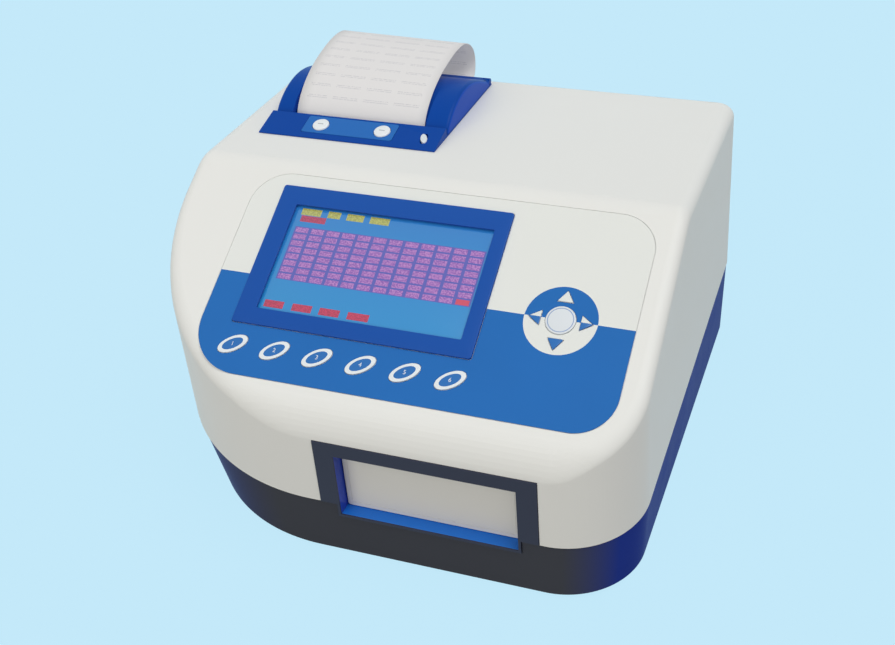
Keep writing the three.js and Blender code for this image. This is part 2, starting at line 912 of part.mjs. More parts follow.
function drawerFront() {
  const shape = rounded(
    [openingX[0] + panelGap, openingX[1] - panelGap],
    [sillHeight + panelGap, openingTop - panelGap],
    panelRound,
  );
  return extruded(shape, "y", [panelRecess, panelRecess + panelThickness], nestSteps);
}
reader.add(part("drawer_front", drawerFront(), finish(offWhite, satin, plastic)));

const blockY = [blockRear - blockLength, blockRear];
const clampZ = [
  pulleyHeight + pulleyRadius + beltThickness + 2 * seat,
  guideHeight + blockHeight / 2 + supportCap,
];
const beltX = around(beltCentre, beltWidth);

function plateCarrier() {
  const tray = block(trayX, [trayFront, trayRear], [trayBottom, trayTop]);
  const nestZ = [trayBottom + nestFloor, trayTop + overrun];
  const nest = extruded(rounded(nestX, nestY, nestRound), "z", nestZ, nestSteps);
  const light = block(
    around(windowCentre, lightWidth),
    around(nestCentre, lightDepth),
    [trayBottom - overrun, trayTop],
  );
  const grips = block(
    [trayX[0] - overrun, trayX[1] + overrun],
    around(nestCentre, gripWidth),
    [trayBottom + nestFloor + overrun, trayTop + overrun],
  );
  const beamZ = [trayBottom, trayBottom + nestFloor + nestRim];
  const crossbar = block(
    [guideX[0], guideX[1]],
    [blockY[0] + supportThickness, blockY[1]],
    beamZ,
  );
  const arms = [trayX[0], trayX[1] - 2 * trayWall].map((x) =>
    block([x, x + 2 * trayWall], [trayRear - trayWall, blockY[0] + 2 * supportThickness], beamZ),
  );
  const blocks = guideX.map((x) => block(around(x, blockWidth), blockY, around(guideHeight, blockHeight)));
  const clampY = [blockY[0] + supportThickness, blockY[1] - supportThickness];
  const clamp = block([beltX[0], guideX[0]], clampY, clampZ);
  const bores = guideX.map((x) =>
    rod(guideRadius + running, "y", [blockY[0] - overrun, blockY[1] + overrun], [x, guideHeight], rodSides),
  );
  return cut(join(tray, crossbar, arms, blocks, clamp), nest, light, grips, bores);
}
reader.add(part("plate_carrier", plateCarrier(), finish(darkSteel, satin, plastic)));

["drawer_rod_left", "drawer_rod_right"].forEach((name, i) => {
  const bar = rod(guideRadius, "y", [guideFront, guideRear], [guideX[i], guideHeight], rodSides);
  reader.add(part(name, bar, finish(steel, gloss, metal)));
});

// The drawer frame holds both rods, and the idler pulley's pin on a post at the left
const pulleyX = around(beltCentre, pulleyWidth);

function drawerSupport(front) {
  const depth = [front, front + supportThickness];
  const reach = [guideX[0] - supportPost / 2, guideX[1] + supportPost / 2];
  const foot = block(reach, depth, [floorSeat, floorSeat + supportBar]);
  const top = guideHeight + guideRadius + supportCap;
  const posts = guideX.map((x) => block(around(x, supportPost), depth, [floorSeat, top]));
  const holes = guideX.map((x) =>
    rod(guideRadius + press, "y", [depth[0] - overrun, depth[1] + overrun], [x, guideHeight], rodSides),
  );
  return cut(join(foot, posts), holes);
}

function drawerFrame() {
  const rails = guideX.map((x) =>
    block(around(x, supportPost), [guideFront, guideRear], [floorSeat, floorSeat + supportThickness]),
  );
  const postX = [pulleyX[1] + seat, pulleyX[1] + seat + idlerPost];
  const width = around(idlerPulleyY, idlerPostWidth);
  const post = block(postX, width, [floorSeat, pulleyHeight + motorShaftRadius * 2]);
  const foot = block([postX[0], guideX[0]], width, [floorSeat, floorSeat + supportThickness]);
  const pin = rod(motorShaftRadius, "x", [pulleyX[0], postX[1]], [idlerPulleyY, pulleyHeight], rodSides);
  return join(drawerSupport(guideFront), drawerSupport(guideRear - supportThickness), rails, post, foot, pin);
}
reader.add(part("drawer_frame", drawerFrame(), finish(steel, satin, metal)));

// Drawer drive: motor, toothed belt and two pulleys

function pulley(y, bore) {
  const core = rod(pulleyRadius, "x", pulleyX, [y, pulleyHeight], pulleySides);
  const flanges = [pulleyX[0], pulleyX[1] - pulleyFlange].map((x) =>
    rod(pulleyRadius + pulleyFlangeReach, "x", [x, x + pulleyFlange], [y, pulleyHeight], pulleySides),
  );
  if (!bore) return join(core, flanges);
  const hole = rod(bore, "x", [pulleyX[0] - overrun, pulleyX[1] + overrun], [y, pulleyHeight], rodSides);
  return cut(join(core, flanges), hole);
}

const bracketX = [pulleyX[0] - motorGap - motorBracket, pulleyX[0] - motorGap];
const motorX = [bracketX[0] - motorLength, bracketX[0]];
const shaftDepth = motorLength / 2;
const drivePulley = join(
  pulley(drivePulleyY, 0),
  rod(motorShaftRadius, "x", [motorX[1] - shaftDepth, beltCentre], [drivePulleyY, pulleyHeight], holeSides),
);
reader.add(part("drive_pulley", drivePulley, finish(steel, satin, metal)));
const idlerPulley = pulley(idlerPulleyY, motorShaftRadius + running);
reader.add(part("idler_pulley", idlerPulley, finish(steel, satin, metal)));

function belt() {
  const run = (radius) => {
    const shape = new THREE.Shape();
    shape.absarc(drivePulleyY, pulleyHeight, radius, -Math.PI / 2, Math.PI / 2, false);
    shape.absarc(idlerPulleyY, pulleyHeight, radius, Math.PI / 2, (3 * Math.PI) / 2, false);
    return shape;
  };
  const inside = pulleyRadius + seat;
  const outer = extruded(run(inside + beltThickness), "x", beltX);
  return cut(outer, extruded(run(inside), "x", [beltX[0] - overrun, beltX[1] + overrun]));
}
reader.add(part("drawer_belt", belt(), finish(black, matt, plastic)));

// A square motor with chamfered corners, a boss and a bore for its shaft
function squareMotor(limits, facing, [y, z]) {
  const [y0, y1] = around(y, motorSize);
  const [z0, z1] = around(z, motorSize);
  const c = motorChamfer;
  const section = outline([
    [y0 + c, z0], [y1 - c, z0], [y1, z0 + c], [y1, z1 - c],
    [y1 - c, z1], [y0 + c, z1], [y0, z1 - c], [y0, z0 + c],
  ]);
  const face = facing > 0 ? limits[1] : limits[0];
  const middle = (limits[0] + limits[1]) / 2;
  const bossX = ordered(middle, face + facing * motorBossHeight);
  const boreX = ordered(middle - overrun * facing, face + facing * overrun);
  const body = join(extruded(section, "x", limits), rod(motorBossRadius, "x", bossX, [y, z], rodSides));
  return cut(body, rod(motorShaftRadius + running, "x", boreX, [y, z], holeSides));
}

function drawerMotor() {
  const width = around(drivePulleyY, motorSize);
  const top = pulleyHeight + motorSize / 2;
  const wall = block([motorX[1] - motorBracket, bracketX[1]], width, [floorSeat, top]);
  const foot = block([motorX[0], bracketX[1]], width, [floorSeat, floorSeat + motorBracket]);
  const hole = rod(
    motorShaftRadius + seat, "x", [motorX[1] - shaftDepth, bracketX[1] + overrun],
    [drivePulleyY, pulleyHeight], rodSides,
  );
  return cut(join(squareMotor(motorX, 1, [drivePulleyY, pulleyHeight]), wall, foot), hole);
}
reader.add(part("drawer_motor", drawerMotor(), finish(black, satin, plastic)));

// Reading head: an arm over and an arm under the plate, on two cross rods
const crossY = around(carriageCentre, crossSpread);
const armX = around(headHome, armWidth);
const wellY = Array.from({ length: wellRows }, (_, i) => nestCentre + (i - (wellRows - 1) / 2) * wellPitch);

function readHead() {
  const rear = spineFront + spineDepth;
  const yoke = extruded(
    outline([
      [armFront, lowerArmTop - lowerArmTip],
      [spineFront, lowerArmTop - lowerArmRoot],
      [rear, lowerArmTop - lowerArmRoot],
      [rear, upperArmBottom + upperArmRoot],
      [spineFront, upperArmBottom + upperArmRoot],
      [armFront, upperArmBottom + upperArmTip],
      [armFront, upperArmBottom],
      [spineFront, upperArmBottom],
      [spineFront, lowerArmTop],
      [armFront, lowerArmTop],
    ]),
    "x",
    armX,
  );
  const carriage = block(
    around(headHome, carriageWidth),
    [carriageY[0] - spineDepth / 2, carriageY[1]],
    around(crossHeight, carriageHeight),
  );
  const lenses = wellY.flatMap((y) => [
    rod(lensRadius, "z", around(lowerArmTop, 2 * lensHeight), [headHome, y], lensSides),
    rod(lensRadius, "z", around(upperArmBottom, 2 * lensHeight), [headHome, y], lensSides),
  ]);
  const span = [headHome - carriageWidth, headHome + carriageWidth];
  const bores = crossY.map((y) => rod(crossRadius + running, "x", span, [y, crossHeight], rodSides));
  const nut = rod(screwRadius + running, "x", span, [carriageCentre, crossHeight], rodSides);
  return cut(join(yoke, carriage, lenses, detectorBoard()), bores, nut);
}
// The detector board lies along the upper arm's sloping back
function detectorBoard() {
  const run = spineFront - armFront;
  const rise = upperArmRoot - upperArmTip;
  const angle = Math.atan2(rise, run);
  const length = run / Math.cos(angle) - 2 * spineDepth;
  const sheet = new THREE.BoxGeometry(armWidth, length, boardThickness);
  const chips = wellY.map((_, i) => {
    const chip = new THREE.BoxGeometry(armWidth / 2, wellPitch / 2, 2 * boardThickness);
    return chip.translate(0, (i - (wellRows - 1) / 2) * wellPitch, boardThickness);
  });
  const frame = new THREE.Matrix4().makeRotationX(angle);
  const middleY = (spineFront + armFront) / 2;
  const middleZ = upperArmBottom + (upperArmRoot + upperArmTip) / 2;
  frame.setPosition(headHome, middleY, middleZ);
  return join([sheet, ...chips].map((geometry) => solid(geometry.applyMatrix4(frame))));
}
reader.add(part("read_head", readHead(), finish(darkSteel, satin, plastic)));

const crossLimits = [crossLeft - crossSupportThickness, crossRight + crossSupportThickness];
["head_rod_front", "head_rod_rear"].forEach((name, i) => {
  const bar = rod(crossRadius, "x", crossLimits, [crossY[i], crossHeight], rodSides);
  reader.add(part(name, bar, finish(steel, gloss, metal)));
});

function headSupport(x0) {
  const limits = [x0, x0 + crossSupportThickness];
  const wall = block(
    limits,
    around(carriageCentre, crossSupportDepth),
    [floorSeat, crossHeight + crossRadius + supportCap],
  );
  const through = [limits[0] - overrun, limits[1] + overrun];
  const holes = crossY.map((y) => rod(crossRadius + press, "x", through, [y, crossHeight], rodSides));
  return cut(wall, holes, rod(screwRadius + running, "x", through, [carriageCentre, crossHeight], rodSides));
}

// The head frame holds the cross rods between two walls
function headFrame() {
  const depth = around(carriageCentre, crossSupportDepth);
  const plate = block(crossLimits, depth, [floorSeat, floorSeat + motorBracket]);
  const hole = block(
    [crossLimits[0] + crossSupportDepth / 2, crossLimits[1] - crossSupportDepth / 2],
    around(carriageCentre, crossSpread),
    [floorSeat - overrun, crossHeight],
  );
  return join(cut(plate, hole), headSupport(crossLimits[0]), headSupport(crossRight));
}
reader.add(part("head_frame", headFrame(), finish(steel, satin, metal)));

const headMotorFace = crossLimits[1] + seat + motorBossHeight;
const headMotorX = [headMotorFace, headMotorFace + headMotorLength];
const screwX = [crossLimits[0], middle(headMotorX)];
const headScrew = rod(screwRadius, "x", screwX, [carriageCentre, crossHeight], rodSides);
reader.add(part("head_screw", headScrew, finish(steel, gloss, metal)));

function headMotor() {
  const body = squareMotor(headMotorX, -1, [carriageCentre, crossHeight]);
  const bore = rod(
    screwRadius + running, "x", [headMotorX[0] - overrun, middle(headMotorX) + overrun],
    [carriageCentre, crossHeight], rodSides,
  );
  const pad = block(
    headMotorX, around(carriageCentre, motorSize / 2), [floorSeat, crossHeight - motorSize / 3],
  );
  return cut(join(body, pad), bore);
}
reader.add(part("head_motor", headMotor(), finish(black, satin, plastic)));

// Light source: lamp housing with fins, filter wheel and its motor
const wheelLimits = around(wheelY, wheelThickness);
const lampRear = wheelLimits[0] - lampGap;
const beamHeight = wheelHeight + filterRing;

function lampHousing() {
  const width = around(wheelX, lampWidth);
  const depth = [lampRear - lampDepth, lampRear];
  const core = block(width, depth, [floorSeat, floorSeat + lampHeight - lampFinHeight]);
  const pitch = (lampWidth - lampFinThickness) / (lampFins - 1);
  const fins = Array.from({ length: lampFins }, (_, i) => {
    const x = width[0] + i * pitch;
    const base = floorSeat + lampHeight - lampFinHeight - lampFinThickness;
    return block([x, x + lampFinThickness], depth, [base, floorSeat + lampHeight]);
  });
  const boreY = [lampRear - lampDepth / 2, lampRear + overrun];
  const bore = rod(lampBore, "y", boreY, [wheelX, beamHeight], holeSides);
  return cut(join(core, fins), bore);
}
reader.add(part("lamp_housing", lampHousing(), finish(steel, satin, metal)));

function filterWheel() {
  const plate = rod(wheelRadius, "y", wheelLimits, [wheelX, wheelHeight], wheelSides);
  const hubY = [wheelLimits[0], wheelLimits[1] + wheelThickness / 2];
  const hub = rod(wheelHub, "y", hubY, [wheelX, wheelHeight], rodSides);
  const through = [wheelLimits[0] - overrun, wheelLimits[1] + wheelThickness];
  const windows = Array.from({ length: filterCount }, (_, i) => {
    const angle = (i * 2 * Math.PI) / filterCount;
    const place = [wheelX + filterRing * Math.cos(angle), wheelHeight + filterRing * Math.sin(angle)];
    return rod(filterHole, "y", through, place, holeSides);
  });
  const bore = rod(motorShaftRadius + running, "y", through, [wheelX, wheelHeight], rodSides);
  return cut(join(plate, hub), windows, bore);
}
reader.add(part("filter_wheel", filterWheel(), finish(black, satin, metal)));

function filterMotor() {
  const front = wheelLimits[1] + wheelThickness / 2 + seat;
  const centre = [wheelX, wheelHeight];
  const body = rod(filterMotorRadius, "y", [front, front + filterMotorLength], centre, wheelSides);
  const shaft = rod(motorShaftRadius, "y", [wheelLimits[0], front + seat], centre, rodSides);
  const foot = block(
    around(wheelX, filterMotorRadius), [front, front + filterMotorLength],
    [floorSeat, wheelHeight],
  );
  const plate = block(
    around(wheelX, 3 * filterMotorRadius), [front, front + filterMotorBracket],
    [floorSeat, wheelHeight + filterMotorRadius],
  );
  return join(body, shaft, foot, plate);
}
reader.add(part("filter_motor", filterMotor(), finish(steel, satin, metal)));

// Electronics
const supplyX = [supplySideMargin - halfWidth, supplySideMargin + supplyWidth - halfWidth];
const supplyY = [bodyDepth - supplyRearMargin - supplyDepth, bodyDepth - supplyRearMargin];

function powerSupply() {
  const can = block(supplyX, supplyY, [floorSeat, floorSeat + supplyHeight]);
  const pitch = supplyWidth / (lampFins + 1);
  const slots = Array.from({ length: lampFins }, (_, i) => {
    const x = supplyX[0] + (i + 1) * pitch;
    const depth = around(middle(supplyY), supplyDepth / 2);
    return block(around(x, pitch / 2), depth, around(floorSeat + supplyHeight, 2 * overrun));
  });
  return cut(can, slots);
}
reader.add(part("power_supply", powerSupply(), finish(steel, satin, metal)));

function mainBoard() {
  const top = mainBoardHeight + boardThickness;
  const [width, depth] = [mainBoardX[1] - mainBoardX[0], mainBoardY[1] - mainBoardY[0]];
  const sheet = block(mainBoardX, mainBoardY, [mainBoardHeight, top]);
  const chipShares = [
    [-0.36, 0.22, 0.14, 0.2, 1],
    [-0.12, 0.2, 0.2, 0.26, 0.6],
    [0.2, 0.24, 0.12, 0.22, 2.4],
    [0.38, 0.1, 0.1, 0.34, 3],
    [-0.3, -0.24, 0.24, 0.16, 0.8],
    [0.04, -0.22, 0.16, 0.24, 1],
    [0.34, -0.28, 0.16, 0.18, 1.6],
  ];
  const chips = chipShares.map(([x, y, w, d, h]) =>
    block(
      around(middle(mainBoardX) + x * width, w * width),
      around(middle(mainBoardY) + y * depth, d * depth),
      [mainBoardHeight + boardThickness / 2, top + h * chipHeight],
    ),
  );
  return join(sheet, chips);
}
reader.add(part("main_board", mainBoard(), finish(boardGreen, satin, plastic)));

// Rear panel with the fan grille
const panelRear = bodyDepth - shellWall - seat;
const panelY = [panelRear - rearPanelThickness, panelRear];
const throughPanel = [panelY[0] - overrun, panelY[1] + overrun];
const inletZ = around(inletHeight, inletBodyHeight);
const serialX2 = around(serialX, serialWidth + 2 * portShell);
const usbX2 = around(usbX, usbWidth + 2 * portShell);

function rearPanel() {
  const sheet = block(rearX, panelY, [rearPanelBottom, rearPanelTop]);
  const pitch = (fanBore - grilleBar) / grilleRings;
  const rings = Array.from({ length: grilleRings }, (_, i) => {
    const outer = fanBore - i * pitch;
    const ring = rod(outer, "y", throughPanel, [fanX, fanHeight], keySides);
    return cut(ring, rod(outer - pitch + grilleBar, "y", throughPanel, [fanX, fanHeight], keySides));
  });
  const spokes = Array.from({ length: grilleSpokes / 2 }, (_, i) => {
    const bar = new THREE.BoxGeometry(fanSize, rearPanelThickness + 4 * overrun, 2 * grilleBar);
    bar.rotateY(((i + 1 / 2) * 2 * Math.PI) / grilleSpokes);
    return solid(bar.translate(fanX, (panelY[0] + panelY[1]) / 2, fanHeight));
  });
  return cut(
    sheet,
    cut(join(rings), spokes),
    block(around(inletX, inletBodyWidth + 2 * seat), throughPanel, [inletZ[0] - seat, inletZ[1] + seat]),
    block(grown(serialX2, seat), throughPanel, around(portHeight, serialHeight + 2 * (portShell + seat))),
    block(grown(usbX2, seat), throughPanel, around(portHeight, usbHeight + 2 * (portShell + seat))),
  );
}
reader.add(part("rear_panel", rearPanel(), finish(steel, satin, metal)));

// Fan: frame behind the grille, and the rotor on its hub
const fanY = [panelY[0] - seat - fanDepth, panelY[0] - seat];

function fanFrame() {
  const shape = rounded(around(fanX, fanSize), around(fanHeight, fanSize), fanTipGap * 3);
  const body = cut(
    extruded(shape, "y", fanY, nestSteps),
    rod(fanBore, "y", [fanY[0] - overrun, fanY[1] + overrun], [fanX, fanHeight], wheelSides),
  );
  const strutY = [fanY[0], fanY[0] + rearPanelThickness];
  const struts = Array.from({ length: 2 }, (_, i) => {
    const bar = new THREE.BoxGeometry(2 * fanBore + fanTipGap, rearPanelThickness, 2 * grilleBar);
    bar.rotateY((i * Math.PI) / 2);
    return solid(bar.translate(fanX, (strutY[0] + strutY[1]) / 2, fanHeight));
  });
  const centre = rod(fanHub, "y", strutY, [fanX, fanHeight], rodSides);
  const pin = rod(motorShaftRadius, "y", [strutY[0], fanY[1] - 2 * fanTipGap], [fanX, fanHeight], holeSides);
  return join(body, struts, centre, pin);
}
reader.add(part("fan_frame", fanFrame(), finish(black, satin, plastic)));

function fanRotor() {
  const limits = [fanY[0] + rearPanelThickness + seat, fanY[1] - fanTipGap];
  const depth = limits[1] - limits[0];
  const hub = rod(fanHub, "y", limits, [fanX, fanHeight], hubSides);
  const blade = new THREE.BoxGeometry(fanBore - fanTipGap - fanHub / 2, depth, fanTipGap, 1, bladeSteps, 1);
  blade.translate((fanBore - fanTipGap + fanHub / 2) / 2, 0, 0);
  const place = blade.getAttribute("position");
  for (let i = 0; i < place.count; i++) {
    const turn = (place.getY(i) / depth) * fanBladeTwist;
    const [x, z] = [place.getX(i), place.getZ(i)];
    place.setX(i, x * Math.cos(turn) + z * Math.sin(turn));
    place.setZ(i, z * Math.cos(turn) - x * Math.sin(turn));
  }
  const blades = Array.from({ length: fanBlades }, (_, i) => {
    const turned = blade.clone().rotateY((i * 2 * Math.PI) / fanBlades);
    return solid(turned.translate(fanX, (limits[0] + limits[1]) / 2, fanHeight));
  });
  const bore = rod(
    motorShaftRadius + running, "y", [limits[0] - overrun, fanY[1] - 2 * fanTipGap + seat],
    [fanX, fanHeight], rodSides,
  );
  return cut(join(hub, blades), bore);
}
reader.add(part("fan_rotor", fanRotor(), finish(black, satin, plastic)));

// Mains inlet with its rocker switch, set in the rear panel
const flangeY = [panelY[1] + seat, panelY[1] + seat + inletFlangeThickness];
const rockerAxis = [flangeY[1] - rockerSink, inletHeight];

function mainsInlet() {
  const flange = block(around(inletX, inletFlangeWidth), flangeY, around(inletHeight, inletFlangeHeight));
  const body = block(
    around(inletX, inletBodyWidth), [flangeY[1] - inletBodyDepth, flangeY[1]], inletZ,
  );
  const pit = around(inletX + socketX, socketWidth);
  const socketY = [flangeY[1] - socketDepth, flangeY[1] + overrun];
  const socket = block(pit, socketY, around(inletHeight, socketHeight));
  const contacts = [-1, 0, 1].map((i) =>
    block(
      around(inletX + socketX + i * contactSpread, contactWidth),
      [flangeY[1] - socketDepth - overrun, flangeY[1] - socketDepth + contactLength],
      around(inletHeight + (i === 0 ? contactWidth : -contactWidth), 2 * contactWidth),
    ),
  );
  const wellX = around(inletX + rockerX, rockerWidth + 2 * buttonGap);
  const well = block(
    wellX, [flangeY[1] - rockerWellDepth, flangeY[1] + overrun],
    around(inletHeight, 2 * (rockerRadius + buttonGap)),
  );
  const pins = [-1, 1].map((side) => {
    const wall = inletX + rockerX + side * (rockerWidth / 2 + buttonGap);
    const tip = wall - side * motorShaftRadius;
    return rod(hingePin, "x", ordered(wall + side * buttonGap, tip), rockerAxis, holeSides);
  });
  return join(cut(join(flange, body), socket, well), contacts, pins);
}
reader.add(part("mains_inlet", mainsInlet(), finish(black, satin, plastic)));

// The rocker is a slice of a cylinder round its axis, with two flat faces that meet in a shallow valley
function powerSwitch() {
  const centre = inletX + rockerX;
  const width = around(centre, rockerWidth);
  const [y, z] = rockerAxis;
  const front = rockerSink - buttonGap;
  const valley = front * Math.cos(rockerTilt) - overrun / 2;
  const shape = new THREE.Shape();
  const reach = Math.asin((front - overrun) / rockerRadius) / 2;
  shape.absarc(0, 0, rockerRadius, Math.PI / 2 - reach, (3 * Math.PI) / 2 + reach, false);
  shape.lineTo(valley, 0);
  const geometry = new THREE.ExtrudeGeometry(shape, {
    depth: rockerWidth,
    bevelEnabled: false,
    curveSegments: rodSides,
  });
  const [across, up, along] = axisFrames.x;
  geometry.rotateZ(-rockerTilt);
  const frame = new THREE.Matrix4().makeBasis(across, up, along).setPosition(width[0], y, z);
  const clipY = [y - rockerSink / 2, flangeY[1] + rockerRadius];
  const clip = block([width[0] - overrun, width[1] + overrun], clipY, around(z, 3 * rockerRadius));
  const body = solid(geometry.applyMatrix4(frame)).intersect(clip);
  const bore = rod(hingePin + running, "x", [width[0] - overrun, width[1] + overrun], rockerAxis, holeSides);
  return cut(body, bore);
}
reader.add(part("power_switch", powerSwitch(), finish(black, gloss, plastic)));

// Data sockets: metal shells with a tongue inside, on one flange
function dataSocket(x, width, height) {
  const body = block(
    around(x, width + 2 * portShell), [flangeY[1] - portDepth, flangeY[1]],
    around(portHeight, height + 2 * portShell),
  );
  const pitY = [flangeY[1] - portSocket, flangeY[1] + overrun];
  const pit = block(around(x, width), pitY, around(portHeight, height));
  const tongue = block(
    around(x, width / 2), [flangeY[1] - portSocket - portShell, flangeY[1] - 2 * portShell],
    [portHeight + height / 2 - overrun - portShell, portHeight + height / 2 - portShell],
  );
  return { body, pit, tongue };
}

function dataPorts() {
  const sockets = [dataSocket(serialX, serialWidth, serialHeight), dataSocket(usbX, usbWidth, usbHeight)];
  const flange = block(
    [serialX - serialFlange / 2, usbX + usbFlange / 2], [flangeY[0], flangeY[0] + portShell],
    around(portHeight, usbHeight + 2 * portShell + 2 * overrun),
  );
  const bodies = sockets.map((socket) => socket.body);
  const pits = sockets.map((socket) => socket.pit);
  const tongues = sockets.map((socket) => socket.tongue);
  return join(cut(join(flange, bodies), pits), tongues);
}
reader.add(part("data_ports", dataPorts(), finish(steel, satin, metal)));

// Keypad overlay: a thin sheet in the shell's recess
const overlayLimits = [seat - overlayRecess, seat - overlayRecess + overlayThickness];

function keypadOverlay() {
  const sheet = rounded([overlayLeft, overlayRight], [overlayBottom, overlayTop], overlayRadii);
  const hole = rounded(grown(bezelX, seat), grown(bezelY, seat), bezelRound);
  const tools = [hole, ...Object.values(keyShapes).map((key) => key.draw(keyClearance))];
  const limits = [overlayLimits[0] - overrun, overlayLimits[1] + overrun];
  const holes = tools.map((shape) => onSlope(shape, limits, keySides / 2));
  return cut(onSlope(sheet, overlayLimits, overlaySteps), holes);
}
reader.add(part("keypad_overlay", keypadOverlay(), finish(panelBlue, gloss, plastic)));

// Keys: caps through the overlay, each with a stem that reaches the board's switch
const capBottom = keyTravel + seat / 2 - overlayRecess;
for (const [name, key] of Object.entries(keyShapes)) {
  const cap = join(
    onSlope(key.draw(0), [capBottom, capBottom + keyThickness - keyBevel], keySides / 2),
    onSlope(key.draw(-keyBevel), [capBottom, capBottom + keyThickness], keySides / 2),
    onSlope(disc(stemRadius, key.place), [capBottom - stemLength, capBottom + keyBevel], smallSteps),
  );
  reader.add(part(name, cap, finish(name === "key_enter" ? offWhite : panelBlue, satin, plastic)));
}

// Keypad board under the keys, an angle round the display
const stemTip = capBottom - stemLength;

function keypadBoard() {
  const top = stemTip - keyTravel - seat;
  const limits = [top - boardThickness, top];
  const right = padU + padRadius;
  const low = around(keyV, 2 * keyBoardMargin);
  const row = rounded([keyFirstU - keyBoardMargin, right], low, boardThickness);
  const pad = rounded([padU - padRadius, right], [low[0], padV + padRadius], boardThickness);
  const domes = Object.values(keyShapes).map((key) =>
    onSlope(disc(stemRadius, key.place), [top - boardThickness / 2, top + keyTravel / 2], smallSteps),
  );
  return join(onSlope(row, limits, smallSteps), onSlope(pad, limits, smallSteps), domes);
}
reader.add(part("keypad_board", keypadBoard(), finish(boardGreen, satin, plastic)));

// Display: bezel, glass and the module behind it
const bezelBottom = seat - overlayRecess;

function displayBezel() {
  const shape = rounded(bezelX, bezelY, bezelRound);
  const body = onSlope(shape, [bezelBottom, bezelProud], smallSteps);
  const opening = rounded(screenX, screenY, bezelRound / 2);
  return cut(body, onSlope(opening, [bezelBottom - overrun, bezelProud + overrun], smallSteps));
}
reader.add(part("display_bezel", displayBezel(), finish(deepBlue, gloss, plastic)));

const glassTop = bezelBottom - seat;
const glassU = [screenCutU[0] + seat, screenCutU[1] - seat];
const glassV = [screenCutV[0] + seat, screenCutV[1] - seat];
const glassLimits = [glassTop - screenThickness, glassTop];
const glass = onSlope(rounded(glassU, glassV, bezelRound), glassLimits, smallSteps);
reader.add(part("touch_screen", glass, finish(black, gloss, plastic)));

function displayBoard() {
  const top = glassLimits[0] - seat;
  const lens = onSlope(rounded(glassU, glassV, bezelRound), [top - shellWall, top], smallSteps);
  const body = onSlope(
    rounded(grown(screenX, moduleMargin), grown(screenY, moduleMargin), bezelRound),
    [top - screenSink - moduleThickness, -shellWall - seat - screenSink],
    smallSteps,
  );
  return join(lens, body);
}
reader.add(part("display_board", displayBoard(), finish(darkSteel, satin, metal)));

// Printer tub: front bar, rim, roll well and the hinge lugs
const rimBottom = bodyTop + seat;
const rimTop = rimBottom + rimThickness;
const hingeAxis = [printerRear - hingeRadius - seat, rimTop + seat + hingeRadius];
const tubFloor = bodyTop - tubDepth;
const rollCentre = [rollY, bodyTop + rollHeight];
const platenCentre = [paperSlot + paperThickness / 2 + seat + platenRadius, bodyTop + platenHeight];
const lampPlace = [lampX, lampV];
const paperX = around(paperCentre, paperWidth);

function printerTub() {
  const bodyZ = [tubFloor, rimTop];
  const shell = block(tubX, tubY, bodyZ);
  const well = block(
    [tubX[0] + tubWall, tubX[1] - tubWall], [tubY[0] + tubWall, tubY[1] - tubWall],
    [tubFloor + tubWall, rimBottom],
  );
  const mouthZ = [rimBottom - overrun, rimTop + overrun];
  const mouth = block(grown(tubX, -tubWall), [coverFoot, tubY[1] - tubWall], mouthZ);
  const slot = block(grown(paperX, paperSlotRoom), [barRear, coverFoot + overrun], mouthZ);
  const front = extruded(
    outline([
      [printerFront, rimBottom],
      [barRear, rimBottom],
      [barRear, bodyTop + barRearHeight],
      [printerFront, bodyTop + barFrontHeight],
    ]),
    "x",
    [printerLeft, printerRight],
  );
  const rim = block([printerLeft, printerRight], [barRear - overrun, printerRear], [rimBottom, rimTop]);
  const lugs = [[printerLeft, printerLeft + lugWidth], [printerRight - lugWidth, printerRight]].map((x) =>
    join(
      rod(hingeRadius, "x", x, hingeAxis, rodSides),
      block(x, around(hingeAxis[0], hingeRadius), [rimTop - rimThickness / 2, hingeAxis[1]]),
    ),
  );
  const pinSpans = [
    [printerLeft + lugWidth / 2, printerLeft + lugWidth + hingePinLength],
    [printerRight - lugWidth - hingePinLength, printerRight - lugWidth / 2],
  ];
  const pins = pinSpans.map((x) => rod(hingePin, "x", x, hingeAxis, holeSides));
  const spindleRadius = rollCore - running;
  const spindles = [
    rod(spindleRadius, "x", [tubX[0] + tubWall / 2, paperX[0] + hingePinLength], rollCentre, hubSides),
    rod(spindleRadius, "x", [paperX[1] - hingePinLength, tubX[1] - tubWall / 2], rollCentre, hubSides),
  ];
  const shaftHole = rod(platenShaft + running, "x", grown(tubX, overrun), platenCentre, rodSides);
  const labelX2 = around(labelX, labelWidth + 2 * seat);
  const labelV2 = around(labelV, labelDepth + 2 * seat);
  const labelPit = onBar(rounded(labelX2, labelV2, labelRound), [-labelRecess, overrun], smallSteps);
  const through = [-barRearHeight - overrun, overrun];
  const holes = Object.values(buttonPlaces).map((x) =>
    onBar(disc(buttonRadius + buttonGap, [x, buttonV]), through, keySides / 2),
  );
  const lampShape = oval(lampShort + seat, lampLong + seat, lampPlace, 0);
  const lampPit = onBar(lampShape, [-lampSeat - seat, overrun], lampSteps);
  const body = cut(join(shell, rim, front), well, mouth, slot, labelPit, holes, lampPit, shaftHole);
  return join(body, lugs, pins, spindles);
}
reader.add(part("printer_tub", printerTub(), finish(deepBlue, gloss, plastic)));

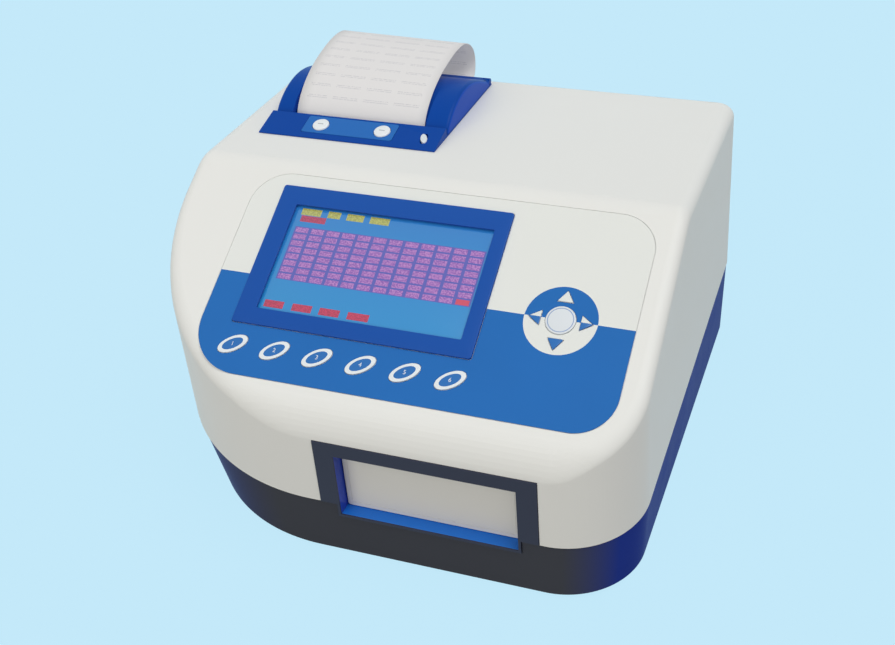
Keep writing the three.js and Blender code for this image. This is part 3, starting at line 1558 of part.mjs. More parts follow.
// Printer cover: a hump with cheeks that swings up on the rim's lugs
function coverCurve(front, rear, inset) {
  const foot = rimTop + seat;
  const peak = bodyTop + coverPeakHeight - inset;
  const back = hingeAxis[1] + hingeRadius - inset;
  const quarter = Math.PI / 2;
  const rise = steps(coverSteps).map((share) => [
    front + (coverPeak - front) * (1 - Math.cos(share * quarter)),
    foot + (peak - foot) * Math.sin(share * quarter),
  ]);
  const fall = steps(coverSteps).slice(1).map((share) => [
    coverPeak + (rear - coverPeak) * share,
    back + (peak - back) * Math.cos(share * quarter),
  ]);
  return [...rise, ...fall];
}

function printerCover() {
  const innerRear = hingeAxis[0] - 2 * hingeRadius;
  const barrel = steps(coverSteps).map((share) => {
    const angle = Math.PI * (1 / 2 - share);
    return [hingeAxis[0] + hingeRadius * Math.cos(angle), hingeAxis[1] + hingeRadius * Math.sin(angle)];
  });
  const width = [printerLeft, printerRight];
  const body = extruded(outline([...coverCurve(coverFoot, innerRear, 0), ...barrel]), "x", width);
  const inner = coverCurve(coverFoot + coverWall, innerRear, coverWall);
  const hollow = extruded(
    outline([
      [inner[0][0], rimTop - overrun],
      ...inner,
      [innerRear, rimTop - overrun],
    ]),
    "x",
    [printerLeft + coverWall, printerRight - coverWall],
  );
  const lugRoom = hingeRadius + seat;
  const lugCuts = [
    [printerLeft - overrun, printerLeft + lugWidth + seat],
    [printerRight - lugWidth - seat, printerRight + overrun],
  ].map((x) => {
    const depth = [hingeAxis[0] - lugRoom, printerRear + overrun];
    return block(x, depth, [rimTop - overrun, hingeAxis[1] + 2 * hingeRadius]);
  });
  const reach = lugWidth + hingePinLength + seat;
  const bores = [
    [printerLeft - overrun, printerLeft + reach],
    [printerRight - reach, printerRight + overrun],
  ].map((x) => rod(hingePin + running, "x", x, hingeAxis, holeSides));
  return cut(body, hollow, lugCuts, bores);
}
reader.add(part("printer_cover", printerCover(), finish(deepBlue, gloss, plastic)));

// Printer front bar: label strip, two push buttons and the lamp
function printerLabel() {
  const sheet = rounded(around(labelX, labelWidth), around(labelV, labelDepth), labelRound);
  const limits = [seat - labelRecess, seat - labelRecess + labelThickness];
  const holes = Object.values(buttonPlaces).map((x) =>
    onBar(disc(buttonRadius + buttonGap, [x, buttonV]), grown(limits, overrun), keySides / 2),
  );
  return cut(onBar(sheet, limits, smallSteps), holes);
}
reader.add(part("printer_label", printerLabel(), finish(panelBlue, gloss, plastic)));

for (const [name, x] of Object.entries(buttonPlaces)) {
  const profile = [
    [0, buttonProud - buttonLength],
    [buttonRadius, buttonProud - buttonLength],
    [buttonRadius, buttonProud - buttonDome],
    [buttonRadius * Math.cos(Math.PI / 6), buttonProud - buttonDome / 4],
    [buttonRadius / 2, buttonProud],
    [0, buttonProud],
  ];
  const cap = revolved(profile, rodSides).translate(x, buttonV, 0).applyMatrix4(bar.matrix);
  reader.add(part(name, solid(cap), finish(offWhite, satin, plastic)));
}

const printerLamp = join(
  onBar(oval(lampShort, lampLong, lampPlace, 0), [-lampSeat, lampProud / 2], lampSteps),
  onBar(oval(lampShort - lampProud / 2, lampLong - lampProud / 2, lampPlace, 0), [0, lampProud], lampSteps),
);
reader.add(part("printer_lamp", printerLamp, finish(offWhite, gloss, plastic)));

// Inside the tub: paper roll, platen roller and thermal head
function paperRoll() {
  const paper = rod(rollRadius, "x", paperX, rollCentre, wheelSides);
  return cut(paper, rod(rollCore, "x", grown(paperX, overrun), rollCentre, hubSides));
}
reader.add(part("paper_roll", paperRoll(), finish(paperWhite, matt, plastic)));

function platenRoller() {
  const shaft = rod(platenShaft, "x", grown(tubX, -tubWall / 2), platenCentre, rodSides);
  return join(rod(platenRadius, "x", grown(paperX, overrun), platenCentre, rodSides), shaft);
}
reader.add(part("platen_roller", platenRoller(), finish(black, matt, plastic)));

function thermalHead() {
  const rear = paperSlot - paperThickness / 2 - seat;
  const head = block(paperX, [rear - printHeadDepth, rear], around(platenCentre[1], printHeadHeight));
  const foot = block(
    paperX, [rear - printHeadDepth - printHeadFoot, rear - printHeadDepth + overrun],
    [tubFloor + tubWall + seat, platenCentre[1] + printHeadHeight / 2],
  );
  return join(head, foot);
}
reader.add(part("thermal_head", thermalHead(), finish(steel, satin, metal)));

// Paper strip: one sheet swept along its path
function paperStrip() {
  const points = paperPathShares.map(([y, z]) =>
    new THREE.Vector3(paperSlot + y * (paperTail - paperSlot), bodyTop + z * paperRise, 0),
  );
  const path = new THREE.CatmullRomCurve3(points, false, "centripetal");
  const half = paperThickness / 2;
  const offset = (side) => (share) => {
    const point = path.getPointAt(share);
    const along = path.getTangentAt(share);
    return [point.x - side * half * along.y, point.y + side * half * along.x];
  };
  const upper = steps(paperSteps).map(offset(1));
  const lower = steps(paperSteps).map(offset(-1)).reverse();
  return extruded(outline([...lower, ...upper]), "x", paperX);
}
reader.add(part("paper_strip", paperStrip(), finish(paperWhite, matt, plastic)));

// The origin is under the middle of the whole object
const box = new THREE.Box3().setFromObject(reader);
reader.position.set(-(box.min.x + box.max.x) / 2, -(box.min.y + box.max.y) / 2, -box.min.z);

const assembly = new THREE.Group();
assembly.add(reader);
export default assembly;
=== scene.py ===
# Benchtop microplate reader with a plate drawer and a strip printer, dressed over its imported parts.
# Metres in the scene. Pieces are modelled in millimetres in the body's own frame: x is 0 midway
# between the side walls, y is 0 on the front wall, z is 0 under the base pan.
import math

import bmesh
import bpy
from mathutils import Matrix, Vector


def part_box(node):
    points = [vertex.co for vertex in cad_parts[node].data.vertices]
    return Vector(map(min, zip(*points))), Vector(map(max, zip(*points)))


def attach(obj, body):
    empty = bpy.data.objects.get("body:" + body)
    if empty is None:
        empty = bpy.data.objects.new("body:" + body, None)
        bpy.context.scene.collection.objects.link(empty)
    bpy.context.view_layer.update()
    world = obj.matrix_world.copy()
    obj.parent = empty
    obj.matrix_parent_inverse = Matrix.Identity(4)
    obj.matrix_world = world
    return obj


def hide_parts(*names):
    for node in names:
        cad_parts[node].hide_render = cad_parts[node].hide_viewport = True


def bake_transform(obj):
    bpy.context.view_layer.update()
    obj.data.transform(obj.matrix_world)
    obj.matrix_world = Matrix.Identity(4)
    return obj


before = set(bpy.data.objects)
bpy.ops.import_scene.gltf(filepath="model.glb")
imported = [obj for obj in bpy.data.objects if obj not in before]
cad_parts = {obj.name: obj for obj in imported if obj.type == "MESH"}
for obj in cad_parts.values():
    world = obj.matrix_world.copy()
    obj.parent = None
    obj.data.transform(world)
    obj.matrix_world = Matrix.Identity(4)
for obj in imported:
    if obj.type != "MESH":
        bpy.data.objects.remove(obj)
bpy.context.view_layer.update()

mm = 0.001
body = {
    "width": 381,
    "depth": 367,
    "top": 216.5,
    "leftCorner": 150,
    "rightCorner": 58,
    "rearCorner": 15,
    "sideLean": 9.5,
    "leanTop": 60,
    "sideSwell": 8.6,
    "sideFlare": 2.9,
    "slopeFoot": 118.1,
    "slopeAngle": math.radians(29.3),
    "ridgeRadius": 30,
    "chinReach": 15,
    "chinSag": 8.7,
    "seamFront": 46,
    "seamRear": 71,
    "seamGap": 0.3,
    "cornerSteps": 44,
}
halfWidth = body["width"] / 2

shellLow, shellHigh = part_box("top_shell")
panLow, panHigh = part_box("base_pan")
bodyOrigin = Vector((shellHigh.x - halfWidth * mm, shellLow.y, panLow.z))
bodyFrame = Matrix.Translation(bodyOrigin) @ Matrix.Scale(mm, 4)
slopeTurn = (
    Matrix.Translation((0, 0, body["slopeFoot"])) @ Matrix.Rotation(body["slopeAngle"], 4, "X")
)
slopeFrame = bodyFrame @ slopeTurn


# Camera, lights and floor
camera = {
    "azimuth": math.radians(19.9),
    "elevation": math.radians(33.03),
    "roll": math.radians(-2.8),
    "distance": 0.955,
    "aim": (0.0155, 0.15, 0.08),  # in the body's frame, before it is moved across the view
    "across": 0.04715,
    "up": 0.03786,
    "lens": 49.25,
    "shift": (-0.0734, -0.0235),
}


def added(name, data):
    made = bpy.data.objects.new(name, data)
    bpy.context.scene.collection.objects.link(made)
    return made


def makeCamera():
    azimuth, elevation = camera["azimuth"], camera["elevation"]
    ahead = Vector((
        -math.sin(azimuth) * math.cos(elevation),
        math.cos(azimuth) * math.cos(elevation),
        -math.sin(elevation),
    ))
    level = ahead.cross(Vector((0, 0, 1))).normalized()
    upright = level.cross(ahead)
    aim = bodyOrigin + Vector(camera["aim"]) + camera["across"] * level + camera["up"] * upright
    turned = Matrix.Rotation(-camera["roll"], 3, ahead)
    right, up = turned @ level, turned @ upright
    eye = aim - ahead * camera["distance"]
    data = bpy.data.cameras.new("studioCamera")
    data.sensor_width = 36
    data.lens = camera["lens"]
    data.shift_x, data.shift_y = camera["shift"]
    data.clip_start = 0.01
    made = added("studioCamera", data)
    placed = Matrix((right, up, -ahead)).transposed().to_4x4()
    made.matrix_world = Matrix.Translation(eye) @ placed
    bpy.context.scene.camera = made


studio = {
    "backdrop": (0.552, 0.815, 0.965, 1),
    "sky": (1.0, 0.985, 0.955, 1),
    "skyStrength": 0.375,
    "lamps": {  # colour, strength, width and the way to each lamp
        "softKey": ((0.98, 0.995, 1.0), 1.32, math.radians(36), (0.4, 0.0, 0.9)),
        "frontFill": ((1.0, 0.975, 0.9), 0.86, math.radians(50), (-0.35, -0.85, 0.4)),
    },
    "floorSize": 9,
    "floorTone": (0.38, 0.375, 0.36, 1),  # how the floor throws light back on the object
    "floorGlow": (0.569, 0.851, 1.0, 1),
    "floorShade": 0.07,  # the share of the floor's look that takes the shadow
}


class Wire:
    # one output of a node; sums and comparisons on it add the nodes that work them out
    def __init__(self, paint, socket):
        self.paint = paint
        self.socket = socket

    def maths(self, operation, *values):
        return self.paint.node("Math", {"operation": operation}, dict(enumerate(values)))

    def __add__(self, other):
        return self.maths("ADD", self, other)

    def __radd__(self, other):
        return self.maths("ADD", other, self)

    def __sub__(self, other):
        return self.maths("SUBTRACT", self, other)

    def __rsub__(self, other):
        return self.maths("SUBTRACT", other, self)

    def __mul__(self, other):
        return self.maths("MULTIPLY", self, other)

    def __rmul__(self, other):
        return self.maths("MULTIPLY", other, self)

    def __truediv__(self, other):
        return self.maths("DIVIDE", self, other)

    def __mod__(self, other):
        return self.maths("FLOORED_MODULO", self, other)

    def __lt__(self, other):
        return self.maths("LESS_THAN", self, other)

    def __gt__(self, other):
        return self.maths("GREATER_THAN", self, other)

    def __abs__(self):
        return self.maths("ABSOLUTE", self)


class Paint:
    # a material with its principled shader
    def __init__(self, name, **sockets):
        self.material = bpy.data.materials.new(name)
        self.material.use_nodes = True
        self.tree = self.material.node_tree
        self.shader = self.tree.nodes["Principled BSDF"]
        self.coordinates = None
        self.set(**sockets)

    def node(self, kind, settings=None, inputs=None, output=0):
        made = self.tree.nodes.new("ShaderNode" + kind)
        for key, value in (settings or {}).items():
            setattr(made, key, value)
        for key, value in (inputs or {}).items():
            self.feed(made.inputs[key], value)
        return Wire(self, made.outputs[output])

    def feed(self, socket, value):
        if isinstance(value, Wire):
            self.tree.links.new(value.socket, socket)
        else:
            socket.default_value = value

    def set(self, **sockets):
        for name, value in sockets.items():
            self.feed(self.shader.inputs[socketNames[name]], value)

    def place(self):
        if self.coordinates is None:
            self.coordinates = self.node("TexCoord", output="Object")
        return self.coordinates

    def local(self, origin, angle=0):
        # millimetre coordinates in a frame at origin, turned about X by angle
        settings = {"vector_type": "TEXTURE"}
        inputs = {
            "Vector": self.place(), "Location": origin,
            "Rotation": (angle, 0, 0), "Scale": (mm, mm, mm),
        }
        turned = self.node("Mapping", settings, inputs)
        return [self.node("SeparateXYZ", None, {0: turned}, axis) for axis in range(3)]

    def noise(self, scale, detail=2, roughness=0.5, stretch=(1, 1, 1)):
        vector = self.node("Mapping", None, {"Vector": self.place(), "Scale": stretch})
        inputs = {"Vector": vector, "Scale": scale, "Detail": detail, "Roughness": roughness}
        return self.node("TexNoise", None, inputs)

    def mix(self, factor, first, second):
        return self.node("Mix", {"data_type": "RGBA"}, {0: factor, 6: first, 7: second}, 2)

    def drift(self, factor, colour, low, high):
        return self.mix(factor, shade(colour, low), shade(colour, high))

    def bump(self, height, distance, strength=1):
        inputs = {"Height": height, "Distance": distance, "Strength": strength}
        self.set(normal=self.node("Bump", None, inputs))


socketNames = {
    "colour": "Base Color",
    "metallic": "Metallic",
    "roughness": "Roughness",
    "coat": "Coat Weight",
    "coatRoughness": "Coat Roughness",
    "specular": "Specular IOR Level",
    "glow": "Emission Color",
    "glowStrength": "Emission Strength",
    "transmission": "Transmission Weight",
    "ior": "IOR",
    "normal": "Normal",
}


def within(value, limits):
    return (value > limits[0]) * (value < limits[1])


def shade(colour, factor):
    return tuple(min(1, channel * factor) for channel in colour[:3]) + (1,)


def shaderNode(tree, kind, inputs=None, **settings):
    made = tree.nodes.new("ShaderNode" + kind)
    for key, value in settings.items():
        setattr(made, key, value)
    for key, value in (inputs or {}).items():
        if isinstance(value, bpy.types.NodeSocket):
            tree.links.new(value, made.inputs[key])
        else:
            made.inputs[key].default_value = value
    return made.outputs


def seenDirectly(tree):
    # 1 for camera, glossy and transmission rays
    rays = shaderNode(tree, "LightPath")
    total = rays["Is Camera Ray"]
    for name in ("Is Glossy Ray", "Is Transmission Ray"):
        total = shaderNode(tree, "Math", {0: total, 1: rays[name]}, operation="MAXIMUM")[0]
    return total


def makeStudio():
    world = bpy.data.worlds.new("softRoom")
    bpy.context.scene.world = world
    world.use_nodes = True
    tree = world.node_tree
    light = tree.nodes["Background"]
    light.inputs["Color"].default_value = studio["sky"]
    light.inputs["Strength"].default_value = studio["skyStrength"]
    seen = shaderNode(tree, "Background", {"Color": studio["backdrop"]})[0]
    choice = shaderNode(tree, "MixShader", {0: seenDirectly(tree), 1: light.outputs[0], 2: seen})[0]
    tree.links.new(choice, tree.nodes["World Output"].inputs["Surface"])

    for name, (colour, strength, spread, fromThere) in studio["lamps"].items():
        sun = bpy.data.lights.new(name, "SUN")
        sun.color = colour
        sun.energy = strength
        sun.angle = spread
        lamp = added(name, sun)
        lamp.matrix_world = Vector(fromThere).to_track_quat("Z", "Y").to_matrix().to_4x4()

    bm = bmesh.new()
    bmesh.ops.create_grid(bm, x_segments=1, y_segments=1, size=studio["floorSize"] / 2)
    mesh = bpy.data.meshes.new("studioFloor")
    bm.to_mesh(mesh)
    bm.free()
    floor = added("studioFloor", mesh)
    floorMaterial = bpy.data.materials.new("studioFloor")
    floorMaterial.use_nodes = True
    tree = floorMaterial.node_tree
    tree.nodes.remove(tree.nodes["Principled BSDF"])
    matt = shaderNode(tree, "BsdfDiffuse", {"Color": studio["floorTone"]})[0]
    glow = shaderNode(tree, "Emission", {"Color": studio["floorGlow"]})[0]
    lit = {0: seenDirectly(tree), 1: 1 - studio["floorShade"]}
    share = shaderNode(tree, "Math", lit, operation="MULTIPLY")[0]
    blend = shaderNode(tree, "MixShader", {0: share, 1: matt, 2: glow})[0]
    tree.links.new(blend, tree.nodes["Material Output"].inputs["Surface"])
    mesh.materials.append(floorMaterial)


makeCamera()
makeStudio()
bpy.context.scene.view_settings.view_transform = "Standard"
print("camera, lights and floor are in place")


# Finishes
def mouldedPlastic(name, colour, roughness, grain=0.00003, spread=0.04, specular=0.4):
    # a moulded part: a fine spark-eroded grain, and a slow drift of colour and gloss
    paint = Paint(name, specular=specular)
    drift = paint.noise(9, 3)
    paint.set(
        colour=paint.drift(drift, colour, 1 - spread, 1 + spread),
        roughness=roughness + 0.12 * (paint.noise(60, 2) - 0.5),
    )
    paint.bump(paint.noise(1600, 2, 0.6), grain, 0.6)
    return paint


def brushedMetal(name, colour, roughness, stretch=(1, 40, 1), grain=0.00002):
    paint = Paint(name, metallic=1.0)
    streak = paint.noise(120, 3, 0.6, stretch)
    stain = paint.noise(14, 2)
    tone = paint.drift(streak, colour, 0.82, 1.12)
    paint.set(
        colour=paint.mix(0.25 * stain, tone, shade(colour, 0.7)),
        roughness=roughness + 0.2 * (streak - 0.5),
    )
    paint.bump(streak, grain, 0.5)
    return paint


def rubber(name, colour):
    paint = Paint(name, specular=0.35)
    dust = paint.noise(30, 4, 0.7)
    paint.set(
        colour=paint.mix(dust, colour, shade(colour, 1.9)),
        roughness=0.72 + 0.2 * (dust - 0.5),
    )
    paint.bump(paint.noise(900, 3, 0.7), 0.00008, 0.7)
    return paint


def circuitBoard(name, colour, copper):
    # solder mask over tracks and pads
    paint = Paint(name, coat=0.4, coatRoughness=0.2)
    settings = {"feature": "DISTANCE_TO_EDGE"}
    cell = paint.node("TexVoronoi", settings, {"Vector": paint.place(), "Scale": 240})
    track = cell < 0.05
    tint = paint.drift(paint.noise(20, 2), colour, 0.85, 1.2)
    paint.set(colour=paint.mix(0.45 * track, tint, copper), roughness=0.42 - 0.12 * track)
    paint.bump(track, 0.00004, 0.6)
    return paint


finishes = {
    "shellWhite": (0.865, 0.868, 0.85, 1),
    "baseBlue": (0.02, 0.046, 0.31, 1),
    # painted shade for the base's front, top and bottom faces
    "baseFrontShade": (0.064, 0.07, 0.088, 1),
    # the frame's painted shade, then its jamb's and sill's painted light
    "frameShadeDark": (0.038, 0.041, 0.072, 1),
    "jambLitBlue": (0.03, 0.075, 0.52, 1),
    "sillLitBlue": (0.018, 0.19, 0.74, 1),
    "bezelBlue": (0.010, 0.085, 0.40, 1),
    "printerBlue": (0.004, 0.062, 0.36, 1),
    # painted light for the cover's cheeks
    "cheekLitBlue": (0.014, 0.08, 0.5, 1),
    "labelBlue": (0.014, 0.14, 0.50, 1),
    "panelBlue": (0.018, 0.155, 0.50, 1),
    "panelWhite": (0.84, 0.855, 0.83, 1),
    "keyWhite": (0.86, 0.89, 0.92, 1),
    "paper": (0.63, 0.62, 0.625, 1),
}

shellPaint = mouldedPlastic(
    "shellPlastic", finishes["shellWhite"], 0.42, spread=0.012, specular=0.15,
)


def makeBasePaint():
    # the moulding is blue round its sides; its front and its top and bottom faces are painted almost
    # black, a painted shade for the dim light they get
    paint = Paint("basePlastic", specular=0.004)
    facing = paint.node("NewGeometry", output="Normal")
    across, up = (paint.node("SeparateXYZ", None, {0: facing}, axis) for axis in (1, 2))
    wall = paint.node("MapRange", {"clamp": True}, {0: across, 1: -0.6, 2: -0.98, 3: 0.0, 4: 1.0})
    ahead = paint.node("Math", {"operation": "MAXIMUM"}, {0: wall, 1: abs(up) > 0.6})
    tone = paint.drift(paint.noise(10, 2), finishes["baseBlue"], 0.92, 1.1)
    paint.set(
        colour=paint.mix(ahead, tone, finishes["baseFrontShade"]),
        roughness=0.34 + 0.1 * (paint.noise(50, 2) - 0.5),
    )
    paint.bump(paint.noise(1500, 2, 0.6), 0.00003, 0.6)
    return paint


basePaint = makeBasePaint()
bezelPaint = mouldedPlastic("bezelPlastic", finishes["bezelBlue"], 0.4, spread=0.06, specular=0.2)
printerPaint = mouldedPlastic(
    "printerPlastic", finishes["printerBlue"], 0.34, spread=0.06, specular=0.08,
)
labelPaint = mouldedPlastic("labelFilm", finishes["labelBlue"], 0.3, grain=0.00001, specular=0.25)
drawerPaint = mouldedPlastic("drawerPlastic", (0.8, 0.78, 0.74, 1), 0.45, spread=0.02)
blackPaint = mouldedPlastic("blackPlastic", (0.03, 0.031, 0.034, 1), 0.5, spread=0.15)
switchPaint = mouldedPlastic("switchPlastic", (0.015, 0.015, 0.017, 1), 0.25, grain=0.00001)
motorPaint = mouldedPlastic("motorLacquer", (0.022, 0.022, 0.024, 1), 0.38, spread=0.2)
rubberPaint = rubber("footRubber", (0.028, 0.028, 0.03, 1))
sheetPaint = brushedMetal("zincedSheet", (0.56, 0.57, 0.58, 1), 0.36, (1, 18, 1))
groundPaint = brushedMetal("groundSteel", (0.68, 0.69, 0.7, 1), 0.16, (1, 1, 1))
castPaint = brushedMetal("machinedAluminium", (0.62, 0.63, 0.64, 1), 0.3, (3, 3, 30))
socketPaint = brushedMetal("tinnedSteel", (0.66, 0.66, 0.67, 1), 0.28)
modulePaint = brushedMetal("formedCase", (0.45, 0.46, 0.47, 1), 0.4)
boardPaint = circuitBoard("boardMask", (0.02, 0.16, 0.075, 1), (0.10, 0.34, 0.12, 1))
print("finishes are mixed")


# Making, placing and cutting pieces
def place(bm, matrix):
    bmesh.ops.transform(bm, matrix=matrix, verts=bm.verts)


def roundOff(bm, geom, width, steps, affect="EDGES"):
    bmesh.ops.bevel(
        bm, geom=geom, offset=width, offset_type="OFFSET", segments=steps,
        profile=0.5, affect=affect, material=-1, clamp_overlap=False,
    )


def cutRow(bm, point, across):
    everything = bm.verts[:] + bm.edges[:] + bm.faces[:]
    bmesh.ops.bisect_plane(bm, geom=everything, dist=1e-5, plane_co=point, plane_no=across)


def newCorners(grown):
    return [item for item in grown["geom"] if isinstance(item, bmesh.types.BMVert)]


def slab(limits, radii=0, steps=10):
    # a plate between limits on three axes, with a round at each corner seen from above
    bm = bmesh.new()
    bmesh.ops.create_cube(bm, size=1)
    size = [high - low for low, high in limits]
    middle = [(low + high) / 2 for low, high in limits]
    place(bm, Matrix.Translation(middle) @ Matrix.Diagonal((*size, 1)))
    if not isinstance(radii, (list, tuple)):
        radii = [radii] * 4
    corners = [(0, 0), (1, 0), (1, 1), (0, 1)]
    for (right, rear), radius in zip(corners, radii):
        if radius:
            at = Vector((limits[0][right], limits[1][rear], 0))
            bevelUpright(bm, at, radius, steps)
    return bm


def bevelUpright(bm, at, radius, steps):
    for edge in bm.edges:
        first, last = edge.verts
        if all((vert.co.xy - at.xy).length < 1e-4 for vert in (first, last)):
            roundOff(bm, [edge], radius, steps)
            return


def softenRim(bm, height, width, steps=3):
    # rounds every edge that lies in the plane at height
    rim = [
        edge for edge in bm.edges if all(abs(vert.co.z - height) < 1e-5 for vert in edge.verts)
    ]
    roundOff(bm, rim, width, steps)


def ovalPlate(long, short, tilt, centre, low, high, sides=56):
    bm = bmesh.new()
    bmesh.ops.create_cone(
        bm, cap_ends=True, segments=sides, radius1=1, radius2=1, depth=high - low,
    )
    grown = Matrix.Diagonal((long, short, 1, 1))
    turned = Matrix.Rotation(tilt, 4, "Z")
    middle = Matrix.Translation((centre[0], centre[1], (low + high) / 2))
    place(bm, middle @ turned @ grown)
    return bm


def meshOf(bm, name, angle=35):
    bmesh.ops.recalc_face_normals(bm, faces=bm.faces)
    mesh = bpy.data.meshes.new(name)
    bm.to_mesh(mesh)
    bm.free()
    smooth(mesh, angle)
    return mesh


def smooth(mesh, angle):
    mesh.polygons.foreach_set("use_smooth", [True] * len(mesh.polygons))
    mesh.set_sharp_from_angle(angle=math.radians(angle))


def show(mesh, name, carrier, nodes, slotName, paints):
    for paint in paints:
        mesh.materials.append(paint.material)
    piece = added(name, mesh)
    if carrier:
        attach(piece, carrier)
    if nodes:
        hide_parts(*nodes)
    return piece


def makePiece(bm, name, carrier, nodes, slotName, paints, matrix=bodyFrame, angle=35):
    place(bm, matrix)
    return show(meshOf(bm, name, angle), name, carrier, nodes, slotName, paints)


def settled(work):
    # the object's mesh with its modifiers worked in
    ready = bpy.context.evaluated_depsgraph_get()
    return bpy.data.meshes.new_from_object(work.evaluated_get(ready))


def carve(mesh, cutters, name):
    # takes the cutters out of a mesh, all in the same millimetre frame
    work = added(name + "Work", mesh)
    tools = []
    for cutter in cutters:
        tool = added(name + "Cutter", meshOf(cutter, name + "Cutter"))
        tools.append(tool)
        step = work.modifiers.new("cut", "BOOLEAN")
        step.operation = "DIFFERENCE"
        step.solver = "EXACT"
        step.object = tool
    carved = settled(work)
    for helper in [work, *tools]:
        data = helper.data
        bpy.data.objects.remove(helper)
        bpy.data.meshes.remove(data)
    carved.name = name
    return carved


def bevelEdges(piece, width, steps=2, angle=32):
    soft = piece.modifiers.new("softEdges", "BEVEL")
    soft.width = width * mm
    soft.segments = steps
    soft.limit_method = "ANGLE"
    soft.angle_limit = math.radians(angle)
    soft.harden_normals = True
    return piece


# Upper shell and base pan
shoulder = {
    "reach": 10, "drop": 9, "steps": 7, "wall": 3,
    "chinRows": [1, 2.5, 4, 6, 8, 10.5, 12, 13.5, 15], "ridgeRows": 8,
}
ridgeRise = math.tan(body["slopeAngle"])
ridgeDepth = (body["top"] - body["slopeFoot"]) / ridgeRise
ridgeTangent = body["ridgeRadius"] * math.tan(body["slopeAngle"] / 2)
ridgeStart = ridgeDepth - ridgeTangent * math.cos(body["slopeAngle"])
ridgeEnd = ridgeDepth + ridgeTangent


def topAt(y):
    if y >= ridgeEnd:
        return body["top"]
    if y > ridgeStart:
        radius = body["ridgeRadius"]
        return body["top"] - radius + math.sqrt(max(0, radius ** 2 - (ridgeEnd - y) ** 2))
    chin = max(0, 1 - y / body["chinReach"])
    return body["slopeFoot"] + y * ridgeRise - body["chinSag"] * chin * chin


def seamAt(y):
    return body["seamFront"] + (body["seamRear"] - body["seamFront"]) * y / body["depth"]


def outlineFace(bm):
    # the body's outline as one flat face: a rectangle with its own round at each corner
    bmesh.ops.create_grid(bm, x_segments=1, y_segments=1, size=0.5)
    middle = Matrix.Translation((0, body["depth"] / 2, 0))
    place(bm, middle @ Matrix.Diagonal((body["width"], body["depth"], 1, 1)))
    corners = [
        (-halfWidth, 0, body["leftCorner"]),
        (halfWidth, 0, body["rightCorner"]),
        (-halfWidth, body["depth"], body["rearCorner"]),
        (halfWidth, body["depth"], body["rearCorner"]),
    ]
    for x, y, radius in corners:
        corner = min(bm.verts, key=lambda vert: (vert.co - Vector((x, y, 0))).length)
        steps = max(8, round(body["cornerSteps"] * math.sqrt(radius / body["leftCorner"])))
        roundOff(bm, [corner], radius, steps, "VERTICES")
    return bm.faces[:][0]


def ringBody(insets, rows, height, walls=False):
    # rings drawn in from the outline one after another; height gives z from depth and ring
    bm = bmesh.new()
    cap = outlineFace(bm)
    drawn = 0
    for level, inset in enumerate(insets):
        if inset > drawn:
            bmesh.ops.inset_region(
                bm, faces=[cap], thickness=inset - drawn, use_boundary=True, use_even_offset=True,
            )
            drawn = inset
        if level == 0 and inset > 0:
            band = [face for face in bm.faces if face is not cap]
            bmesh.ops.delete(bm, geom=band, context="FACES")
        for vert in cap.verts:
            vert.co.z = level
    if walls:
        rim = [each for each in bm.edges if each.is_boundary]
        grown = bmesh.ops.extrude_edge_only(bm, edges=rim)
        for vert in newCorners(grown):
            vert.co.z = -1
    for row in rows:
        cutRow(bm, (0, row, 0), (0, 1, 0))
    for vert in bm.verts:
        vert.co.z = height(vert.co.y, vert.co.z)
    lean(bm)
    return bm


def lean(bm):
    # the left wall swells out over the joint and leans in below it; the right one flares a little
    for vert in bm.verts:
        left, right = max(0, -vert.co.x / halfWidth), max(0, vert.co.x / halfWidth)
        under = max(0, 1 - vert.co.z / body["leanTop"]) ** 2
        vert.co.x += body["sideLean"] * left * under - body["sideSwell"] * left ** 2 * (1 - under)
        vert.co.x += body["sideFlare"] * right * (1 - under) * (1 - vert.co.z / body["top"])


def between(values, level):
    low = min(len(values) - 2, max(0, math.floor(level)))
    return values[low] + (values[low + 1] - values[low]) * (level - low)


def thicken(bm, name, thickness, side=-1):
    # a wall inside the skin, worked out by a modifier in millimetres
    mesh = meshOf(bm, name + "Skin")
    work = added(name + "Skin", mesh)
    wall = work.modifiers.new("wall", "SOLIDIFY")
    wall.thickness = thickness
    wall.offset = side
    wall.use_even_offset = True
    solid = settled(work)
    bpy.data.objects.remove(work)
    bpy.data.meshes.remove(mesh)
    return solid


def inPlace(mesh, name, carrier, nodes, slotName, paints, matrix=bodyFrame, angle=35):
    mesh.transform(matrix)
    smooth(mesh, angle)
    piece = show(mesh, name, carrier, nodes, slotName, paints)
    steady = piece.modifiers.new("evenShading", "WEIGHTED_NORMAL")
    steady.keep_sharp = True
    return piece


window = {"x": (-32, 130), "y": (-2, 5), "z": (40, 101), "clear": 0.3}
overlay = {
    "x": (-139.8, 173.2), "v": (24, 191.4), "radii": (40, 29, 29, 29), "steps": 24,
    "recess": 0.6, "gap": 0.5, "low": -0.3, "high": 0.2, "above": 3, "recessSteps": 16,
}
screen = {
    "x": (-100.2, 56.9), "v": (76.4, 164.8), "margin": 1.6, "cut": (-6, 2), "round": 2,
    "glass": (-2.4, -0.6), "clear": 0.3, "soft": 0.2,
}
tubHole = {"x": (-167.6, -19.4), "y": (219.945, 350.1), "z": (190, 220)}
rearHole = {"x": (-54, 154), "y": (360, 370), "z": (90, 164)}


def grownBy(limits, margin):
    return (limits[0] - margin, limits[1] + margin)


def boxCutter(x, y, z):
    return slab((x, y, z))


def slopeCutter(u, v, n, radii=0, steps=10):
    bm = slab((u, v, n), radii, steps)
    place(bm, slopeTurn)
    return bm


